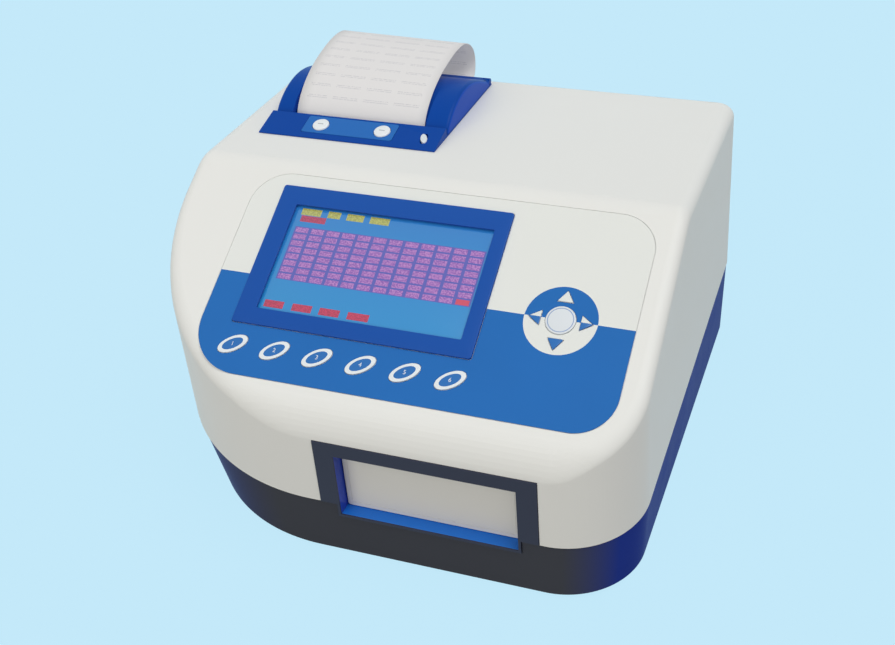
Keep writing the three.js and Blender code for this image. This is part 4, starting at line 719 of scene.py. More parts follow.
def upperShell():
    turns = [math.pi / 2 * step / shoulder["steps"] for step in range(shoulder["steps"] + 1)]
    insets = [shoulder["reach"] * (1 - math.cos(turn)) for turn in turns]
    sinks = [shoulder["drop"] * (1 - math.sin(turn)) for turn in turns]

    def height(y, level):
        return seamAt(y) if level < 0 else topAt(y) - between(sinks, level)

    rows = shoulder["ridgeRows"]
    ridge = [ridgeStart + (ridgeEnd - ridgeStart) * step / rows for step in range(rows + 1)]
    bm = ringBody(insets, shoulder["chinRows"] + ridge, height, walls=True)
    holes = [
        boxCutter(
            grownBy(window["x"], window["clear"]), window["y"],
            (window["z"][0], window["z"][1] + window["clear"]),
        ),
        slopeCutter(
            grownBy(overlay["x"], overlay["gap"]), grownBy(overlay["v"], overlay["gap"]),
            (-overlay["recess"], overlay["above"]),
            [radius + overlay["gap"] for radius in overlay["radii"]], overlay["recessSteps"],
        ),
        slopeCutter(
            grownBy(screen["x"], screen["margin"]), grownBy(screen["v"], screen["margin"]),
            screen["cut"], screen["round"], 4,
        ),
        boxCutter(**tubHole),
        boxCutter(**rearHole),
    ]
    mesh = carve(thicken(bm, "upperShell", shoulder["wall"]), holes, "upperShell")
    inPlace(mesh, "upperShell", "housing", ["top_shell"], "shell_white", [shellPaint])


pan = {
    "insets": (0.6, 0.9, 2.0), "chamfer": 1.2, "wall": 3, "lip": 3.8, "lipWall": 1.4, "lipRise": 4,
    "sill": {"x": (-19.5, 117.5), "y": (-2, 18), "z": (35.1, 101)},  # where the frame sits in it
    "lipGap": {"x": (-44, 142), "y": (-1, 16), "z": (30, 101)},
}


def basePan():
    def height(y, level):
        return between([seamAt(y) - body["seamGap"], pan["chamfer"], 0], level)

    bm = ringBody(pan["insets"], [], height)
    sill = boxCutter(**pan["sill"])
    mesh = carve(thicken(bm, "basePan", pan["wall"], 1), [sill], "basePan")
    inPlace(mesh, "basePan", "housing", ["base_pan"], "base_blue", [basePaint])


def panLip():
    # the ring inside the joint that centres the shell on the pan
    bm = bmesh.new()
    cap = outlineFace(bm)
    bmesh.ops.inset_region(
        bm, faces=[cap], thickness=pan["lip"], use_boundary=True, use_even_offset=True,
    )
    bmesh.ops.delete(bm, geom=[face for face in bm.faces if face is not cap], context="FACES")
    rim = bm.edges[:]
    grown = bmesh.ops.extrude_edge_only(bm, edges=rim)
    bmesh.ops.delete(bm, geom=[cap], context="FACES_ONLY")
    for vert in bm.verts:
        vert.co.z = seamAt(vert.co.y) + pan["lipRise"]
    for vert in newCorners(grown):
        vert.co.z = seamAt(vert.co.y) - pan["lipRise"]
    lean(bm)
    gap = boxCutter(**pan["lipGap"])
    mesh = carve(thicken(bm, "panLip", pan["lipWall"]), [gap], "panLip")
    inPlace(mesh, "panLip", "housing", [], "base_blue", [basePaint])


feet = {
    "places": {
        "foot_front_left": (-112, 58), "foot_front_right": (148, 42),
        "foot_rear_left": (-148, 322), "foot_rear_right": (148, 322),
    },
    "profile": [(0, -1.4), (4, -1.4), (4, -3), (7.6, -3), (8.2, -2.8), (8.8, -0.6), (9, 0), (0, 0)],
    "drop": 0.3,
}


def turned(profile, steps=40):
    # a profile of radius and height spun into a closed body
    bm = bmesh.new()
    corners = [bm.verts.new((radius, 0, height)) for radius, height in profile]
    sides = [bm.edges.new(pair) for pair in zip(corners, corners[1:])]
    bmesh.ops.spin(
        bm, geom=corners + sides, cent=(0, 0, 0), axis=(0, 0, 1), angle=math.tau,
        steps=steps, use_merge=True,
    )
    bmesh.ops.remove_doubles(bm, verts=bm.verts, dist=1e-5)
    return bm


def rubberFeet():
    for name, (x, y) in feet["places"].items():
        bm = turned(feet["profile"])
        place(bm, Matrix.Translation((x, y, -feet["drop"])))
        makePiece(bm, name + "Rubber", "housing", [name], "black_rubber", [rubberPaint])


upperShell()
basePan()
panLip()
rubberFeet()
print("shell, pan and feet are made")


# Window frame and drawer front
uprightTurn = Matrix.Rotation(math.pi / 2, 4, "X")  # local x across, y up, z out of the front wall


paintedLitFaces = {  # faces of the frame round the drawer painted a lighter blue, a painted light where light falls into the opening
    "y": (0.2, 16.5),
    "jamb": {"x": (-17.6, -16.9), "z": (37.6, 90.1)},
    "sill": {"x": (-17.1, 115.1), "z": (37.1, 37.9)},
}


def makeFramePaint():
    # painted shade makes the front near black; painted light makes the left jamb's inner face blue
    # and the sill brightest blue
    paint = Paint("framePlastic", specular=0.2)
    x, y, z = paint.local(tuple(bodyOrigin))
    grain = paint.noise(12, 2)
    front = paint.drift(grain, finishes["frameShadeDark"], 0.95, 1.08)
    inside = within(y, paintedLitFaces["y"])
    jamb, sill = (
        inside * within(x, paintedLitFaces[face]["x"]) * within(z, paintedLitFaces[face]["z"])
        for face in ("jamb", "sill")
    )
    side = paint.mix(jamb, front, finishes["jambLitBlue"])
    paint.set(
        colour=paint.mix(sill, side, finishes["sillLitBlue"]),
        roughness=0.3 + 0.1 * (grain - 0.5),
    )
    paint.bump(paint.noise(1500, 2, 0.6), 0.00002, 0.5)
    return paint


def copyOf(name, flat=0.4):
    # a node's loose triangles joined up, in world coordinates
    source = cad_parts[name]
    bm = bmesh.new()
    bm.from_mesh(source.data)
    place(bm, source.matrix_world)
    bmesh.ops.remove_doubles(bm, verts=bm.verts, dist=0.000004)
    limit = math.radians(flat)
    bmesh.ops.dissolve_limit(bm, angle_limit=limit, verts=bm.verts, edges=bm.edges)
    return bm


def copied(name, carrier, slotName, paint, width=0.3, steps=2, angle=35):
    words = name.split("_")
    pieceName = words[0] + "".join(word.capitalize() for word in words[1:]) + "Made"
    bm = copyOf(name)
    piece = show(meshOf(bm, pieceName, angle), pieceName, carrier, [name], slotName, [paint])
    if width:
        bevelEdges(piece, width, steps)
    return piece


drawer = {
    "x": (-16.5, 114.5), "z": (37.8, 89.6), "front": 10, "rear": 14, "round": 2,
    "soft": 0.5, "border": 3.6, "groove": 0.5, "sunk": 0.3,
}


def drawerFront():
    face = -drawer["front"]
    bm = slab((drawer["x"], drawer["z"], (-drawer["rear"], face)), drawer["round"], 6)
    softenRim(bm, face, drawer["soft"], 3)
    inset = drawer["border"] + drawer["groove"]
    span = (face - drawer["sunk"], face + 1)
    island = slab((
        grownBy(drawer["x"], -inset), grownBy(drawer["z"], -inset), grownBy(span, 1),
    ), drawer["round"], 5)
    channel = slab((
        grownBy(drawer["x"], -drawer["border"]), grownBy(drawer["z"], -drawer["border"]), span,
    ), drawer["round"] + drawer["groove"], 5)
    groove = carve(meshOf(channel, "drawerChannel"), [island], "drawerGroove")
    cutter = bmesh.new()
    cutter.from_mesh(groove)
    mesh = carve(meshOf(bm, "drawerFront"), [cutter], "drawerFront")
    inPlace(
        mesh, "drawerFront", "drawer", ["drawer_front"], "shell_white", [drawerPaint],
        bodyFrame @ uprightTurn,
    )


copied("window_frame", "housing", "frame_blue", makeFramePaint(), 0.6, 3)
drawerFront()
print("window frame and drawer front are made")


# Keypad sheet, keys and pad
bezel = {
    "x": (-115.6, 67.7), "v": (63.3, 180.6), "low": -0.3, "high": 1.8, "round": 2, "soft": 0.6,
    "clear": 0.3,
}
pad = {"at": (121.1, 102.5), "radius": 26, "band": 103}
keys = {
    "first": -107.8, "pitch": 33.1, "v": 46.1, "long": 11.5, "short": 5.9,
    "tilt": math.radians(32), "low": 0.05, "high": 0.95, "bevel": 0.3, "gap": 0.4,
    "inkLong": 8.1, "inkShort": 3.9, "stem": 2, "stemLow": -4.25, "figure": 4.6,
    "print": (-0.02, 0.03),  # how far the figure's print goes under and over the cap
}
arrows = {
    "distance": 18.5, "half": 5.6, "depth": 8.5, "enter": 10.6, "round": 0.9,
    "ring": (1.6, 0.35),  # how far inside the centre key's edge its ring lies, and half its width
}
slopeOrigin = tuple(slopeFrame.translation)


def slopeCoordinates(paint):
    return paint.local(slopeOrigin, body["slopeAngle"])


def farFrom(paint, u, v, centre):
    across, along = u - centre[0], v - centre[1]
    return paint.node("Math", {"operation": "SQRT"}, {0: across * across + along * along})


def makeSheetPaint():
    # blue below the band line and white above it, with the pad's disc the other way round
    paint = Paint("keypadSheet", specular=0.25)
    u, v, _ = slopeCoordinates(paint)
    above = v > pad["band"]
    disc = farFrom(paint, u, v, pad["at"]) < pad["radius"]
    white = abs(above - disc)
    tone = paint.noise(14, 3)
    blue = paint.drift(tone, finishes["panelBlue"], 0.94, 1.05)
    pale = paint.drift(tone, finishes["panelWhite"], 0.985, 1.01)
    paint.set(
        colour=paint.mix(white, blue, pale),
        roughness=0.34 + 0.08 * (paint.noise(70, 2) - 0.5),
    )
    paint.bump(paint.noise(1900, 2, 0.6), 0.000015, 0.5)
    return paint


def makeKeyPaint():
    # a pale cap with a blue oval printed inside its edge
    paint = Paint("keyCap", coat=0.3, coatRoughness=0.12)
    u, v, _ = slopeCoordinates(paint)
    across = (u - (keys["first"] - keys["pitch"] / 2)) % keys["pitch"] - keys["pitch"] / 2
    along = v - keys["v"]
    cosine, sine = math.cos(keys["tilt"]), math.sin(keys["tilt"])
    longWay = (across * cosine + along * sine) / keys["inkLong"]
    shortWay = (along * cosine - across * sine) / keys["inkShort"]
    ink = (longWay * longWay + shortWay * shortWay) < 1
    tone = paint.noise(40, 2)
    blue = paint.drift(tone, finishes["panelBlue"], 0.9, 1.05)
    paint.set(
        colour=paint.mix(ink, finishes["keyWhite"], blue),
        roughness=0.3 + 0.1 * (tone - 0.5),
    )
    return paint


keyPaint = makeKeyPaint()


def trianglePlate(at, turns, grow, low, high, rounding=0):
    # an arrow that points away from the pad's centre after so many quarter turns
    half = arrows["half"] + 2 * grow
    back, tip = -arrows["depth"] / 2 - grow, arrows["depth"] / 2 + 2 * grow
    bm = bmesh.new()
    corners = [bm.verts.new((x, y, low)) for x, y in ((-half, back), (half, back), (0, tip))]
    face = bm.faces.new(corners)
    raised = bmesh.ops.extrude_face_region(bm, geom=[face])
    for vert in newCorners(raised):
        vert.co.z = high
    if rounding:
        upright = [each for each in bm.edges if abs(each.verts[0].co.z - each.verts[1].co.z) > 1e-4]
        roundOff(bm, upright, rounding, 5)
    quarter = Matrix.Rotation(turns * math.pi / 2, 4, "Z")
    place(bm, Matrix.Translation((*at, 0)) @ quarter)
    return bm


def arrowPlace(turns):
    angle = turns * math.pi / 2
    reach = arrows["distance"]
    return (pad["at"][0] - reach * math.sin(angle), pad["at"][1] + reach * math.cos(angle))


arrowTurns = {"key_up": 0, "key_left": 1, "key_down": 2, "key_right": 3}


def keyPlaces():
    return [(keys["first"] + index * keys["pitch"], keys["v"]) for index in range(6)]


def keypadSheet():
    limits = (overlay["x"], overlay["v"], (overlay["low"], overlay["high"]))
    bm = slab(limits, overlay["radii"], overlay["steps"])
    span = (overlay["low"] - 1, overlay["high"] + 1)
    room = (grownBy(bezel["x"], bezel["clear"]), grownBy(bezel["v"], bezel["clear"]), span)
    cutters = [slab(room, bezel["round"], 4)]
    for at in keyPlaces():
        cutters.append(ovalPlate(
            keys["long"] + keys["gap"], keys["short"] + keys["gap"], keys["tilt"], at, *span,
        ))
    for turns in arrowTurns.values():
        cutters.append(trianglePlate(arrowPlace(turns), turns, keys["gap"], *span, arrows["round"]))
    enter = arrows["enter"] + keys["gap"]
    cutters.append(ovalPlate(enter, enter, 0, pad["at"], *span))
    mesh = carve(meshOf(bm, "keypadSheet"), cutters, "keypadSheet")
    paint = makeSheetPaint()
    inPlace(
        mesh, "keypadSheet", "housing", ["keypad_overlay"], "panel_sheet", [paint], slopeFrame,
    )


def withStem(bm, at):
    stem = bmesh.ops.create_cone(
        bm, cap_ends=True, segments=20, radius1=keys["stem"], radius2=keys["stem"],
        depth=keys["low"] - keys["stemLow"],
    )
    middle = Vector((at[0], at[1], (keys["low"] + keys["stemLow"]) / 2))
    bmesh.ops.translate(bm, verts=stem["verts"], vec=middle)
    return bm


def figureMesh(text, size, at, low, high):
    # a figure as a thin raised print
    data = bpy.data.curves.new("figure", "FONT")
    data.body = text
    data.size = size
    data.align_x = "CENTER"
    data.align_y = "CENTER"
    data.extrude = (high - low) / 2
    data.resolution_u = 4
    work = added("figure", data)
    mesh = settled(work)
    bpy.data.objects.remove(work)
    bpy.data.curves.remove(data)
    bm = bmesh.new()
    bm.from_mesh(mesh)
    bpy.data.meshes.remove(mesh)
    bmesh.ops.remove_doubles(bm, verts=bm.verts, dist=1e-5)
    place(bm, Matrix.Translation((at[0], at[1], (low + high) / 2)))
    return bm


def ovalKeys():
    ink = mouldedPlastic("figureInk", (0.80, 0.84, 0.9, 1), 0.4, grain=0.000005)
    for index, at in enumerate(keyPlaces()):
        name = f"key_{index + 1}"
        bm = ovalPlate(
            keys["long"], keys["short"], keys["tilt"], at, keys["low"], keys["high"], 64,
        )
        softenRim(bm, keys["high"], keys["bevel"], 3)
        withStem(bm, at)
        makePiece(bm, f"ovalKey{index + 1}", name, [name], "panel_sheet", [keyPaint], slopeFrame)
        low, high = (keys["high"] + step for step in keys["print"])
        figure = figureMesh(str(index + 1), keys["figure"], at, low, high)
        makePiece(
            figure, f"ovalKeyFigure{index + 1}", name, [], "panel_sheet", [ink], slopeFrame,
        )


def makeArrowPaint():
    # print of the other tone than the pad's disc, so white above the band line and blue below
    paint = Paint("arrowCap", coat=0.3, coatRoughness=0.12)
    _, v, _ = slopeCoordinates(paint)
    tone = paint.noise(40, 2)
    blue = paint.drift(tone, finishes["panelBlue"], 0.92, 1.05)
    paint.set(
        colour=paint.mix(v > pad["band"], blue, finishes["panelWhite"]),
        roughness=0.3 + 0.1 * (tone - 0.5),
    )
    return paint


def arrowKeys():
    paint = makeArrowPaint()
    for name, turns in arrowTurns.items():
        at = arrowPlace(turns)
        bm = trianglePlate(at, turns, 0, keys["low"], keys["high"], arrows["round"])
        softenRim(bm, keys["high"], keys["bevel"], 2)
        withStem(bm, at)
        pieceName = "arrowKey" + name.split("_")[1].capitalize()
        makePiece(bm, pieceName, name, [name], "panel_sheet", [paint], slopeFrame)


def enterKey():
    paint = Paint("enterCap", coat=0.3, coatRoughness=0.12)
    u, v, _ = slopeCoordinates(paint)
    distance = farFrom(paint, u, v, pad["at"])
    inset, half = arrows["ring"]
    line = abs(distance - (arrows["enter"] - inset)) < half
    tone = paint.noise(40, 2)
    pale = paint.mix(tone, (0.76, 0.80, 0.85, 1), (0.81, 0.84, 0.88, 1))
    paint.set(
        colour=paint.mix(0.6 * line, pale, finishes["panelBlue"]),
        roughness=0.3 + 0.1 * (tone - 0.5),
    )
    bm = ovalPlate(arrows["enter"], arrows["enter"], 0, pad["at"], keys["low"], keys["high"], 72)
    softenRim(bm, keys["high"], keys["bevel"], 3)
    withStem(bm, pad["at"])
    makePiece(bm, "enterKey", "key_enter", ["key_enter"], "button_white", [paint], slopeFrame)


keypadSheet()
ovalKeys()
arrowKeys()
enterKey()
print("keypad sheet and keys are made")


# Display: bezel, and glass with its picture
def displayBezel():
    bm = slab((bezel["x"], bezel["v"], (bezel["low"], bezel["high"])), bezel["round"], 6)
    softenRim(bm, bezel["high"], bezel["soft"], 3)
    opening = slab((screen["x"], screen["v"], (bezel["low"] - 2, bezel["high"] + 2)), 1, 4)
    mesh = carve(meshOf(bm, "displayBezel"), [opening], "displayBezel")
    piece = inPlace(
        mesh, "displayBezel", "housing", ["display_bezel"], "bezel_blue", [bezelPaint], slopeFrame,
    )
    piece.modifiers.clear()
    bevelEdges(piece, 0.4, 2, 60)


picture = {
    "cells": (12, 8), "cellsU": (0.03, 0.99), "cellsV": (0.195, 0.705),
    "tags": [  # rows of tags: their spans across, their span down and their colour
        (((0.033, 0.135), (0.17, 0.235), (0.268, 0.355), (0.387, 0.485)), (0.015, 0.08),
         (0.50, 0.48, 0.10, 1)),
        (((0.04, 0.17),), (0.085, 0.145), (0.50, 0.03, 0.10, 1)),
        (((0.022, 0.12), (0.163, 0.262), (0.30, 0.40), (0.44, 0.545)), (0.905, 0.97),
         (0.58, 0.03, 0.09, 1)),
    ],
    "glow": 0.1,
}


def makeScreenPaint():
    # a grid of wells with tags above and below, lit from behind
    paint = Paint(
        "screenPicture", coat=1.0, coatRoughness=0.03, glowStrength=picture["glow"], roughness=0.2,
    )
    u, v, _ = slopeCoordinates(paint)
    across = (u - screen["x"][0]) / (screen["x"][1] - screen["x"][0])
    down = (screen["v"][1] - v) / (screen["v"][1] - screen["v"][0])
    colour = paint.mix(down, (0.022, 0.19, 0.54, 1), (0.022, 0.25, 0.58, 1))
    speck = paint.noise(1100, 1) > 0.5
    for spans, rows, tint in picture["tags"]:
        row = within(down, rows)
        for span in spans:
            tag = paint.mix(0.5 * speck, tint, shade(tint, 0.4))
            colour = paint.mix(row * within(across, span), colour, tag)
    columns, rows = picture["cells"]
    firstU, lastU = picture["cellsU"]
    firstV, lastV = picture["cellsV"]
    cellU = (across - firstU) * (columns / (lastU - firstU))
    cellV = (down - firstV) * (rows / (lastV - firstV))
    grid = within(across, picture["cellsU"]) * within(down, picture["cellsV"])
    cell = within(cellU % 1, (0.1, 0.9)) * within(cellV % 1, (0.12, 0.88))
    last = (cellU > columns - 1) * (cellV > rows - 1)
    well = paint.mix(speck, (0.26, 0.09, 0.40, 1), (0.48, 0.20, 0.52, 1))
    colour = paint.mix(grid, colour, (0.10, 0.09, 0.42, 1))
    colour = paint.mix(grid * cell, colour, well)
    colour = paint.mix(grid * cell * last, colour, (0.62, 0.05, 0.10, 1))
    paint.set(colour=colour, glow=colour)
    return paint


def touchScreen():
    margin = screen["margin"] - screen["clear"]
    limits = (grownBy(screen["x"], margin), grownBy(screen["v"], margin), screen["glass"])
    bm = slab(limits, screen["round"], 5)
    softenRim(bm, screen["glass"][1], screen["soft"], 2)
    paint = makeScreenPaint()
    makePiece(
        bm, "touchScreen", "housing", ["touch_screen"], "display_glass", [paint], slopeFrame,
    )


displayBezel()
touchScreen()
print("display is made")


# Printer: tub with its bar, label, buttons, lamp and cover
printer = {
    "x": (-169.5, -17.5), "front": 218.045, "rear": 352, "barDepth": 27,
    "barFront": 1.2, "barRear": 8, "lugWidth": 5.5, "hinge": (349.1, 220.9), "hingeRadius": 2.6,
}
barTilt = math.atan2(printer["barRear"] - printer["barFront"], printer["barDepth"])
barFoot = Matrix.Translation((0, printer["front"], body["top"] + printer["barFront"]))
barFrame = bodyFrame @ barFoot @ Matrix.Rotation(barTilt, 4, "X")
label = {
    "x": (-134.85, -56.35), "v": (6, 26), "low": -0.3, "high": 0.1, "round": 2,
    "buttons": {"printer_feed_button": -121.1, "printer_select_button": -67.6},
    "buttonV": 16, "button": 6.7, "gap": 0.4, "mark": (2.4, 0.55),
    "buttonProfile": [
        (0, -4.6), (6.7, -4.6), (6.7, 0.5), (6.45, 0.85), (5.7, 1.15), (4.2, 1.33), (0, 1.4),
    ],
}


def printerLabel():
    bm = slab((label["x"], label["v"], (label["low"], label["high"])), label["round"], 5)
    hole = label["button"] + label["gap"]
    cutters = [
        ovalPlate(hole, hole, 0, (x, label["buttonV"]), label["low"] - 1, label["high"] + 1, 64)
        for x in label["buttons"].values()
    ]
    mesh = carve(meshOf(bm, "printerLabel"), cutters, "printerLabel")
    inPlace(
        mesh, "printerLabel", "housing", ["printer_label"], "label_blue", [labelPaint], barFrame,
    )


def makeButtonPaint():
    # a white cap with a short grey dash in its middle
    paint = Paint("buttonCap", specular=0.35)
    u, v, _ = paint.local(tuple(barFrame.translation), barTilt)
    first, last = label["buttons"].values()
    across = (u - (3 * first - last) / 2) % (last - first) - (last - first) / 2
    dash = (abs(across) < label["mark"][0]) * (abs(v - label["buttonV"]) < label["mark"][1])
    tone = paint.noise(40, 2)
    white = paint.drift(tone, finishes["keyWhite"], 0.98, 1.02)
    paint.set(
        colour=paint.mix(0.55 * dash, white, (0.2, 0.22, 0.26, 1)),
        roughness=0.3 + 0.1 * (tone - 0.5),
    )
    return paint


def printerButtons():
    paint = makeButtonPaint()
    for name, x in label["buttons"].items():
        bm = turned(label["buttonProfile"], 48)
        place(bm, Matrix.Translation((x, label["buttonV"], 0)))
        pieceName = name.split("_")[1] + "Button"
        makePiece(bm, pieceName, name, [name], "button_white", [paint], barFrame, 50)


lens = {
    "long": 2.7, "short": 5.5, "tilt": math.radians(24), "at": (-30.8, 12.6),
    "low": -1.2, "high": 1.2, "soft": 0.8,
}


def printerLamp():
    paint = Paint("lampLens", transmission=0.2, ior=1.45, coat=0.6, coatRoughness=0.05)
    tone = paint.noise(60, 2)
    paint.set(
        colour=paint.mix(tone, (0.88, 0.92, 0.96, 1), (0.94, 0.96, 0.98, 1)),
        roughness=0.18 + 0.1 * tone,
    )
    bm = ovalPlate(
        lens["long"], lens["short"], lens["tilt"], lens["at"], lens["low"], lens["high"], 48,
    )
    softenRim(bm, lens["high"], lens["soft"], 4)
    makePiece(bm, "printerLamp", "housing", ["printer_lamp"], "lamp_clear", [paint], barFrame)


cover = {
    "foot": 246.6, "innerFoot": 256.8, "peak": 293, "footZ": 218.3, "peakZ": 239.2,
    "fullness": 1.5, "wall": 2.2, "steps": 22, "round": 3.4, "roundSteps": 7, "soft": 0.5,
    "barrelSteps": 14, "under": 214, "over": 228, "clear": 0.3, "hollow": 2,
    "pin": {"radius": 1.58, "length": 13.8},
    "scoop": {  # where the paper comes out
        "x": (-154.3, -36.9), "front": 254.4, "rear": 287, "sink": 5.6, "before": 240, "over": 250,
    },
}


def riseAt(share):
    turn = math.pi / 2 * share
    return 1 - math.cos(turn), math.sin(turn) ** cover["fullness"]


def coverCurve(foot, inset):
    # up from the foot over the peak and down to the flat before the hinge
    axisY, axisZ = printer["hinge"]
    peak, rear = cover["peak"], axisY - 2 * printer["hingeRadius"]
    low, high, back = cover["footZ"], cover["peakZ"] - inset, axisZ + printer["hingeRadius"] - inset
    shares = [step / cover["steps"] for step in range(cover["steps"] + 1)]
    points = []
    for share in shares:
        along, up = riseAt(share)
        points.append((foot + (peak - foot) * along, low + (high - low) * up))
    for share in shares[1:]:
        fall = math.cos(math.pi / 2 * share)
        points.append((peak + (rear - peak) * share, back + (high - back) * fall))
    return points


def prism(points, span):
    # points of depth and height carried across the span
    bm = bmesh.new()
    face = bm.faces.new([bm.verts.new((span[0], y, z)) for y, z in points])
    raised = bmesh.ops.extrude_face_region(bm, geom=[face])
    for vert in newCorners(raised):
        vert.co.x = span[1]
    return bm


def coverSection(drop):
    # the hump and the round of its hinge, drawn in by drop
    axisY, axisZ = printer["hinge"]
    reach = printer["hingeRadius"]
    steps = cover["barrelSteps"]
    turns = [math.pi / 2 - math.pi * step / steps for step in range(steps + 1)]
    barrel = [(axisY + reach * math.cos(turn), axisZ + reach * math.sin(turn)) for turn in turns]
    hump = coverCurve(cover["foot"] + drop, drop)
    return [(y, max(z, cover["footZ"])) for y, z in hump] + barrel


def coverSolid():
    # the section carried across, with rows near both cheeks where it is drawn in to round them
    low, high = printer["x"]
    size, steps = cover["round"], cover["roundSteps"]
    turns = [math.pi / 2 * step / steps for step in range(steps)]
    rows = [(size * (1 - math.cos(turn)), size * (1 - math.sin(turn))) for turn in turns]
    rows.append((size, 0))
    whole = coverSection(0)
    bm = prism(whole, printer["x"])
    for inset, _ in rows[1:]:
        for x in (low + inset, high - inset):
            cutRow(bm, (x, 0, 0), (1, 0, 0))
    sections = [(inset, coverSection(drop)) for inset, drop in rows]
    for vert in bm.verts:
        inset = min(vert.co.x - low, high - vert.co.x)
        _, section = min(sections, key=lambda row: abs(row[0] - min(inset, size)))
        index = min(
            range(len(whole)),
            key=lambda at: abs(whole[at][0] - vert.co.y) + abs(whole[at][1] - vert.co.z),
        )
        vert.co.y, vert.co.z = section[index]
    return bm


def cheekSpans(width):
    # from just outside either cheek inwards by width
    low, high = printer["x"]
    return (low - 2, low + width), (high - width, high + 2)


def printerCover():
    axisY = printer["hinge"][0]
    reach = printer["hingeRadius"]
    bm = coverSolid()
    under, clear, pin = cover["under"], cover["clear"], cover["pin"]
    curve = coverCurve(cover["innerFoot"], cover["wall"] + cover["hollow"])
    outline = [(curve[0][0], under), *curve, (curve[-1][0], under)]
    tools = [prism(outline, grownBy(printer["x"], -cover["wall"])), paperScoop()]
    room = (axisY - reach - clear, printer["rear"] + 2)
    for span in cheekSpans(printer["lugWidth"] + clear):
        tools.append(boxCutter(span, room, (under, cover["over"])))
    for span in cheekSpans(pin["length"]):
        tools.append(rodCutter(pin["radius"], span, printer["hinge"]))
    mesh = carve(meshOf(bm, "printerCover"), tools, "printerCover")
    mesh.transform(bodyFrame)
    smooth(mesh, 35)
    nodes, paint = ["printer_cover"], makeCoverPaint()
    piece = show(mesh, "printerCover", "printer_cover", nodes, "printer_blue", [paint])
    bevelEdges(piece, cover["soft"], 3, 50)


def paperScoop():
    # what is taken off the front of the hump, between its shoulders, to let the paper out
    scoop = cover["scoop"]
    floor = []
    for y, z in coverCurve(cover["foot"], 0):
        if scoop["front"] <= y <= scoop["rear"]:
            share = (y - scoop["front"]) / (scoop["rear"] - scoop["front"])
            floor.append((y, z - scoop["sink"] * (1 + math.cos(math.pi * share)) / 2))
    before, under, over = scoop["before"], cover["under"], scoop["over"]
    outline = [(before, under), (floor[0][0], under), *floor, (floor[-1][0] + 1, over)]
    return prism([*outline, (before, over)], scoop["x"])


def rodCutter(radius, span, centre):
    bm = bmesh.new()
    bmesh.ops.create_cone(
        bm, cap_ends=True, segments=24, radius1=radius, radius2=radius, depth=span[1] - span[0],
    )
    middle = Matrix.Translation(((span[0] + span[1]) / 2, *centre))
    place(bm, middle @ Matrix.Rotation(math.pi / 2, 4, "Y"))
    return bm


def makeCoverPaint():
    # the cheeks are painted a lighter blue than the hump, a painted light on their side faces
    paint = Paint("coverPlastic", specular=0.08)
    facing = paint.node("TexCoord", output="Normal")
    across = abs(paint.node("SeparateXYZ", None, {0: facing}, 0))
    tone = paint.noise(10, 2)
    hump = paint.drift(tone, finishes["printerBlue"], 0.93, 1.07)
    paint.set(
        colour=paint.mix(across > 0.8, hump, finishes["cheekLitBlue"]),
        roughness=0.34 + 0.1 * (paint.noise(60, 2) - 0.5),
    )
    paint.bump(paint.noise(1600, 2, 0.6), 0.00003, 0.6)
    return paint


copied("printer_tub", "housing", "printer_blue", printerPaint, 0.5, 3)
printerLabel()
printerButtons()
printerLamp()
printerCover()
print("printer is made")


# Paper strip: up out of the slot, over the cover and curled down behind the rear wall
strip = {
    "x": (-152, -39.2), "thickness": 0.5, "between": 6, "across": 10,
    "path": [  # depth and height of the strip's middle, from inside the slot to the free end
        (251.8, 212.5), (252.2, 217.5), (253.6, 221.8), (256.6, 226.2), (260.6, 230.5),
        (265.8, 234.7), (273.4, 239.6), (284.2, 244.7), (295.5, 248.5), (307, 251.3), (319, 253.5),
        (332, 254.8), (344, 254.5), (355, 252), (364.2, 246.4), (370, 240), (372.7, 233.2),
        (372.9, 227), (371.6, 221.3), (369.2, 217.2), (365.6, 214.6),
    ],
    "twist": 1.5,  # how far its left edge rises over its middle at the top
    "bend": (326, 360),  # depths either side of the cover's hinge where the strip passes it
    "print": {  # rows of dashes along the strip and blocks of them across it
        "pitch": 11, "height": 3.2, "line": 1.6, "stroke": (0.5, 1.2), "block": 27,
        "filled": (2, 24), "across": (6, 106), "along": (20, 200), "ink": 0.44,
    },
}


def curveThrough(points, between):
    # centripetal Catmull-Rom curve through the points
    ends = [2 * points[0] - points[1], *points, 2 * points[-1] - points[-2]]
    found = []
    for four in zip(ends, ends[1:], ends[2:], ends[3:]):
        times = [0]
        for first, last in zip(four, four[1:]):
            times.append(times[-1] + (last - first).length ** 0.5)
        for step in range(between):
            now = times[1] + (times[2] - times[1]) * step / between
            row = four
            for reach in (1, 2, 3):
                row = blendRow(row, times, reach, now)
            found.append(row[0])
    found.append(points[-1])
    return found


def blendRow(row, times, reach, now):
    # one level of the curve's pyramid; the last one runs between the two middle points
    blended = []
    for index in range(len(row) - 1):
        first, last = times[1:3] if reach == 3 else (times[index], times[index + reach])
        share = (now - first) / (last - first)
        blended.append(row[index].lerp(row[index + 1], share))
    return blended


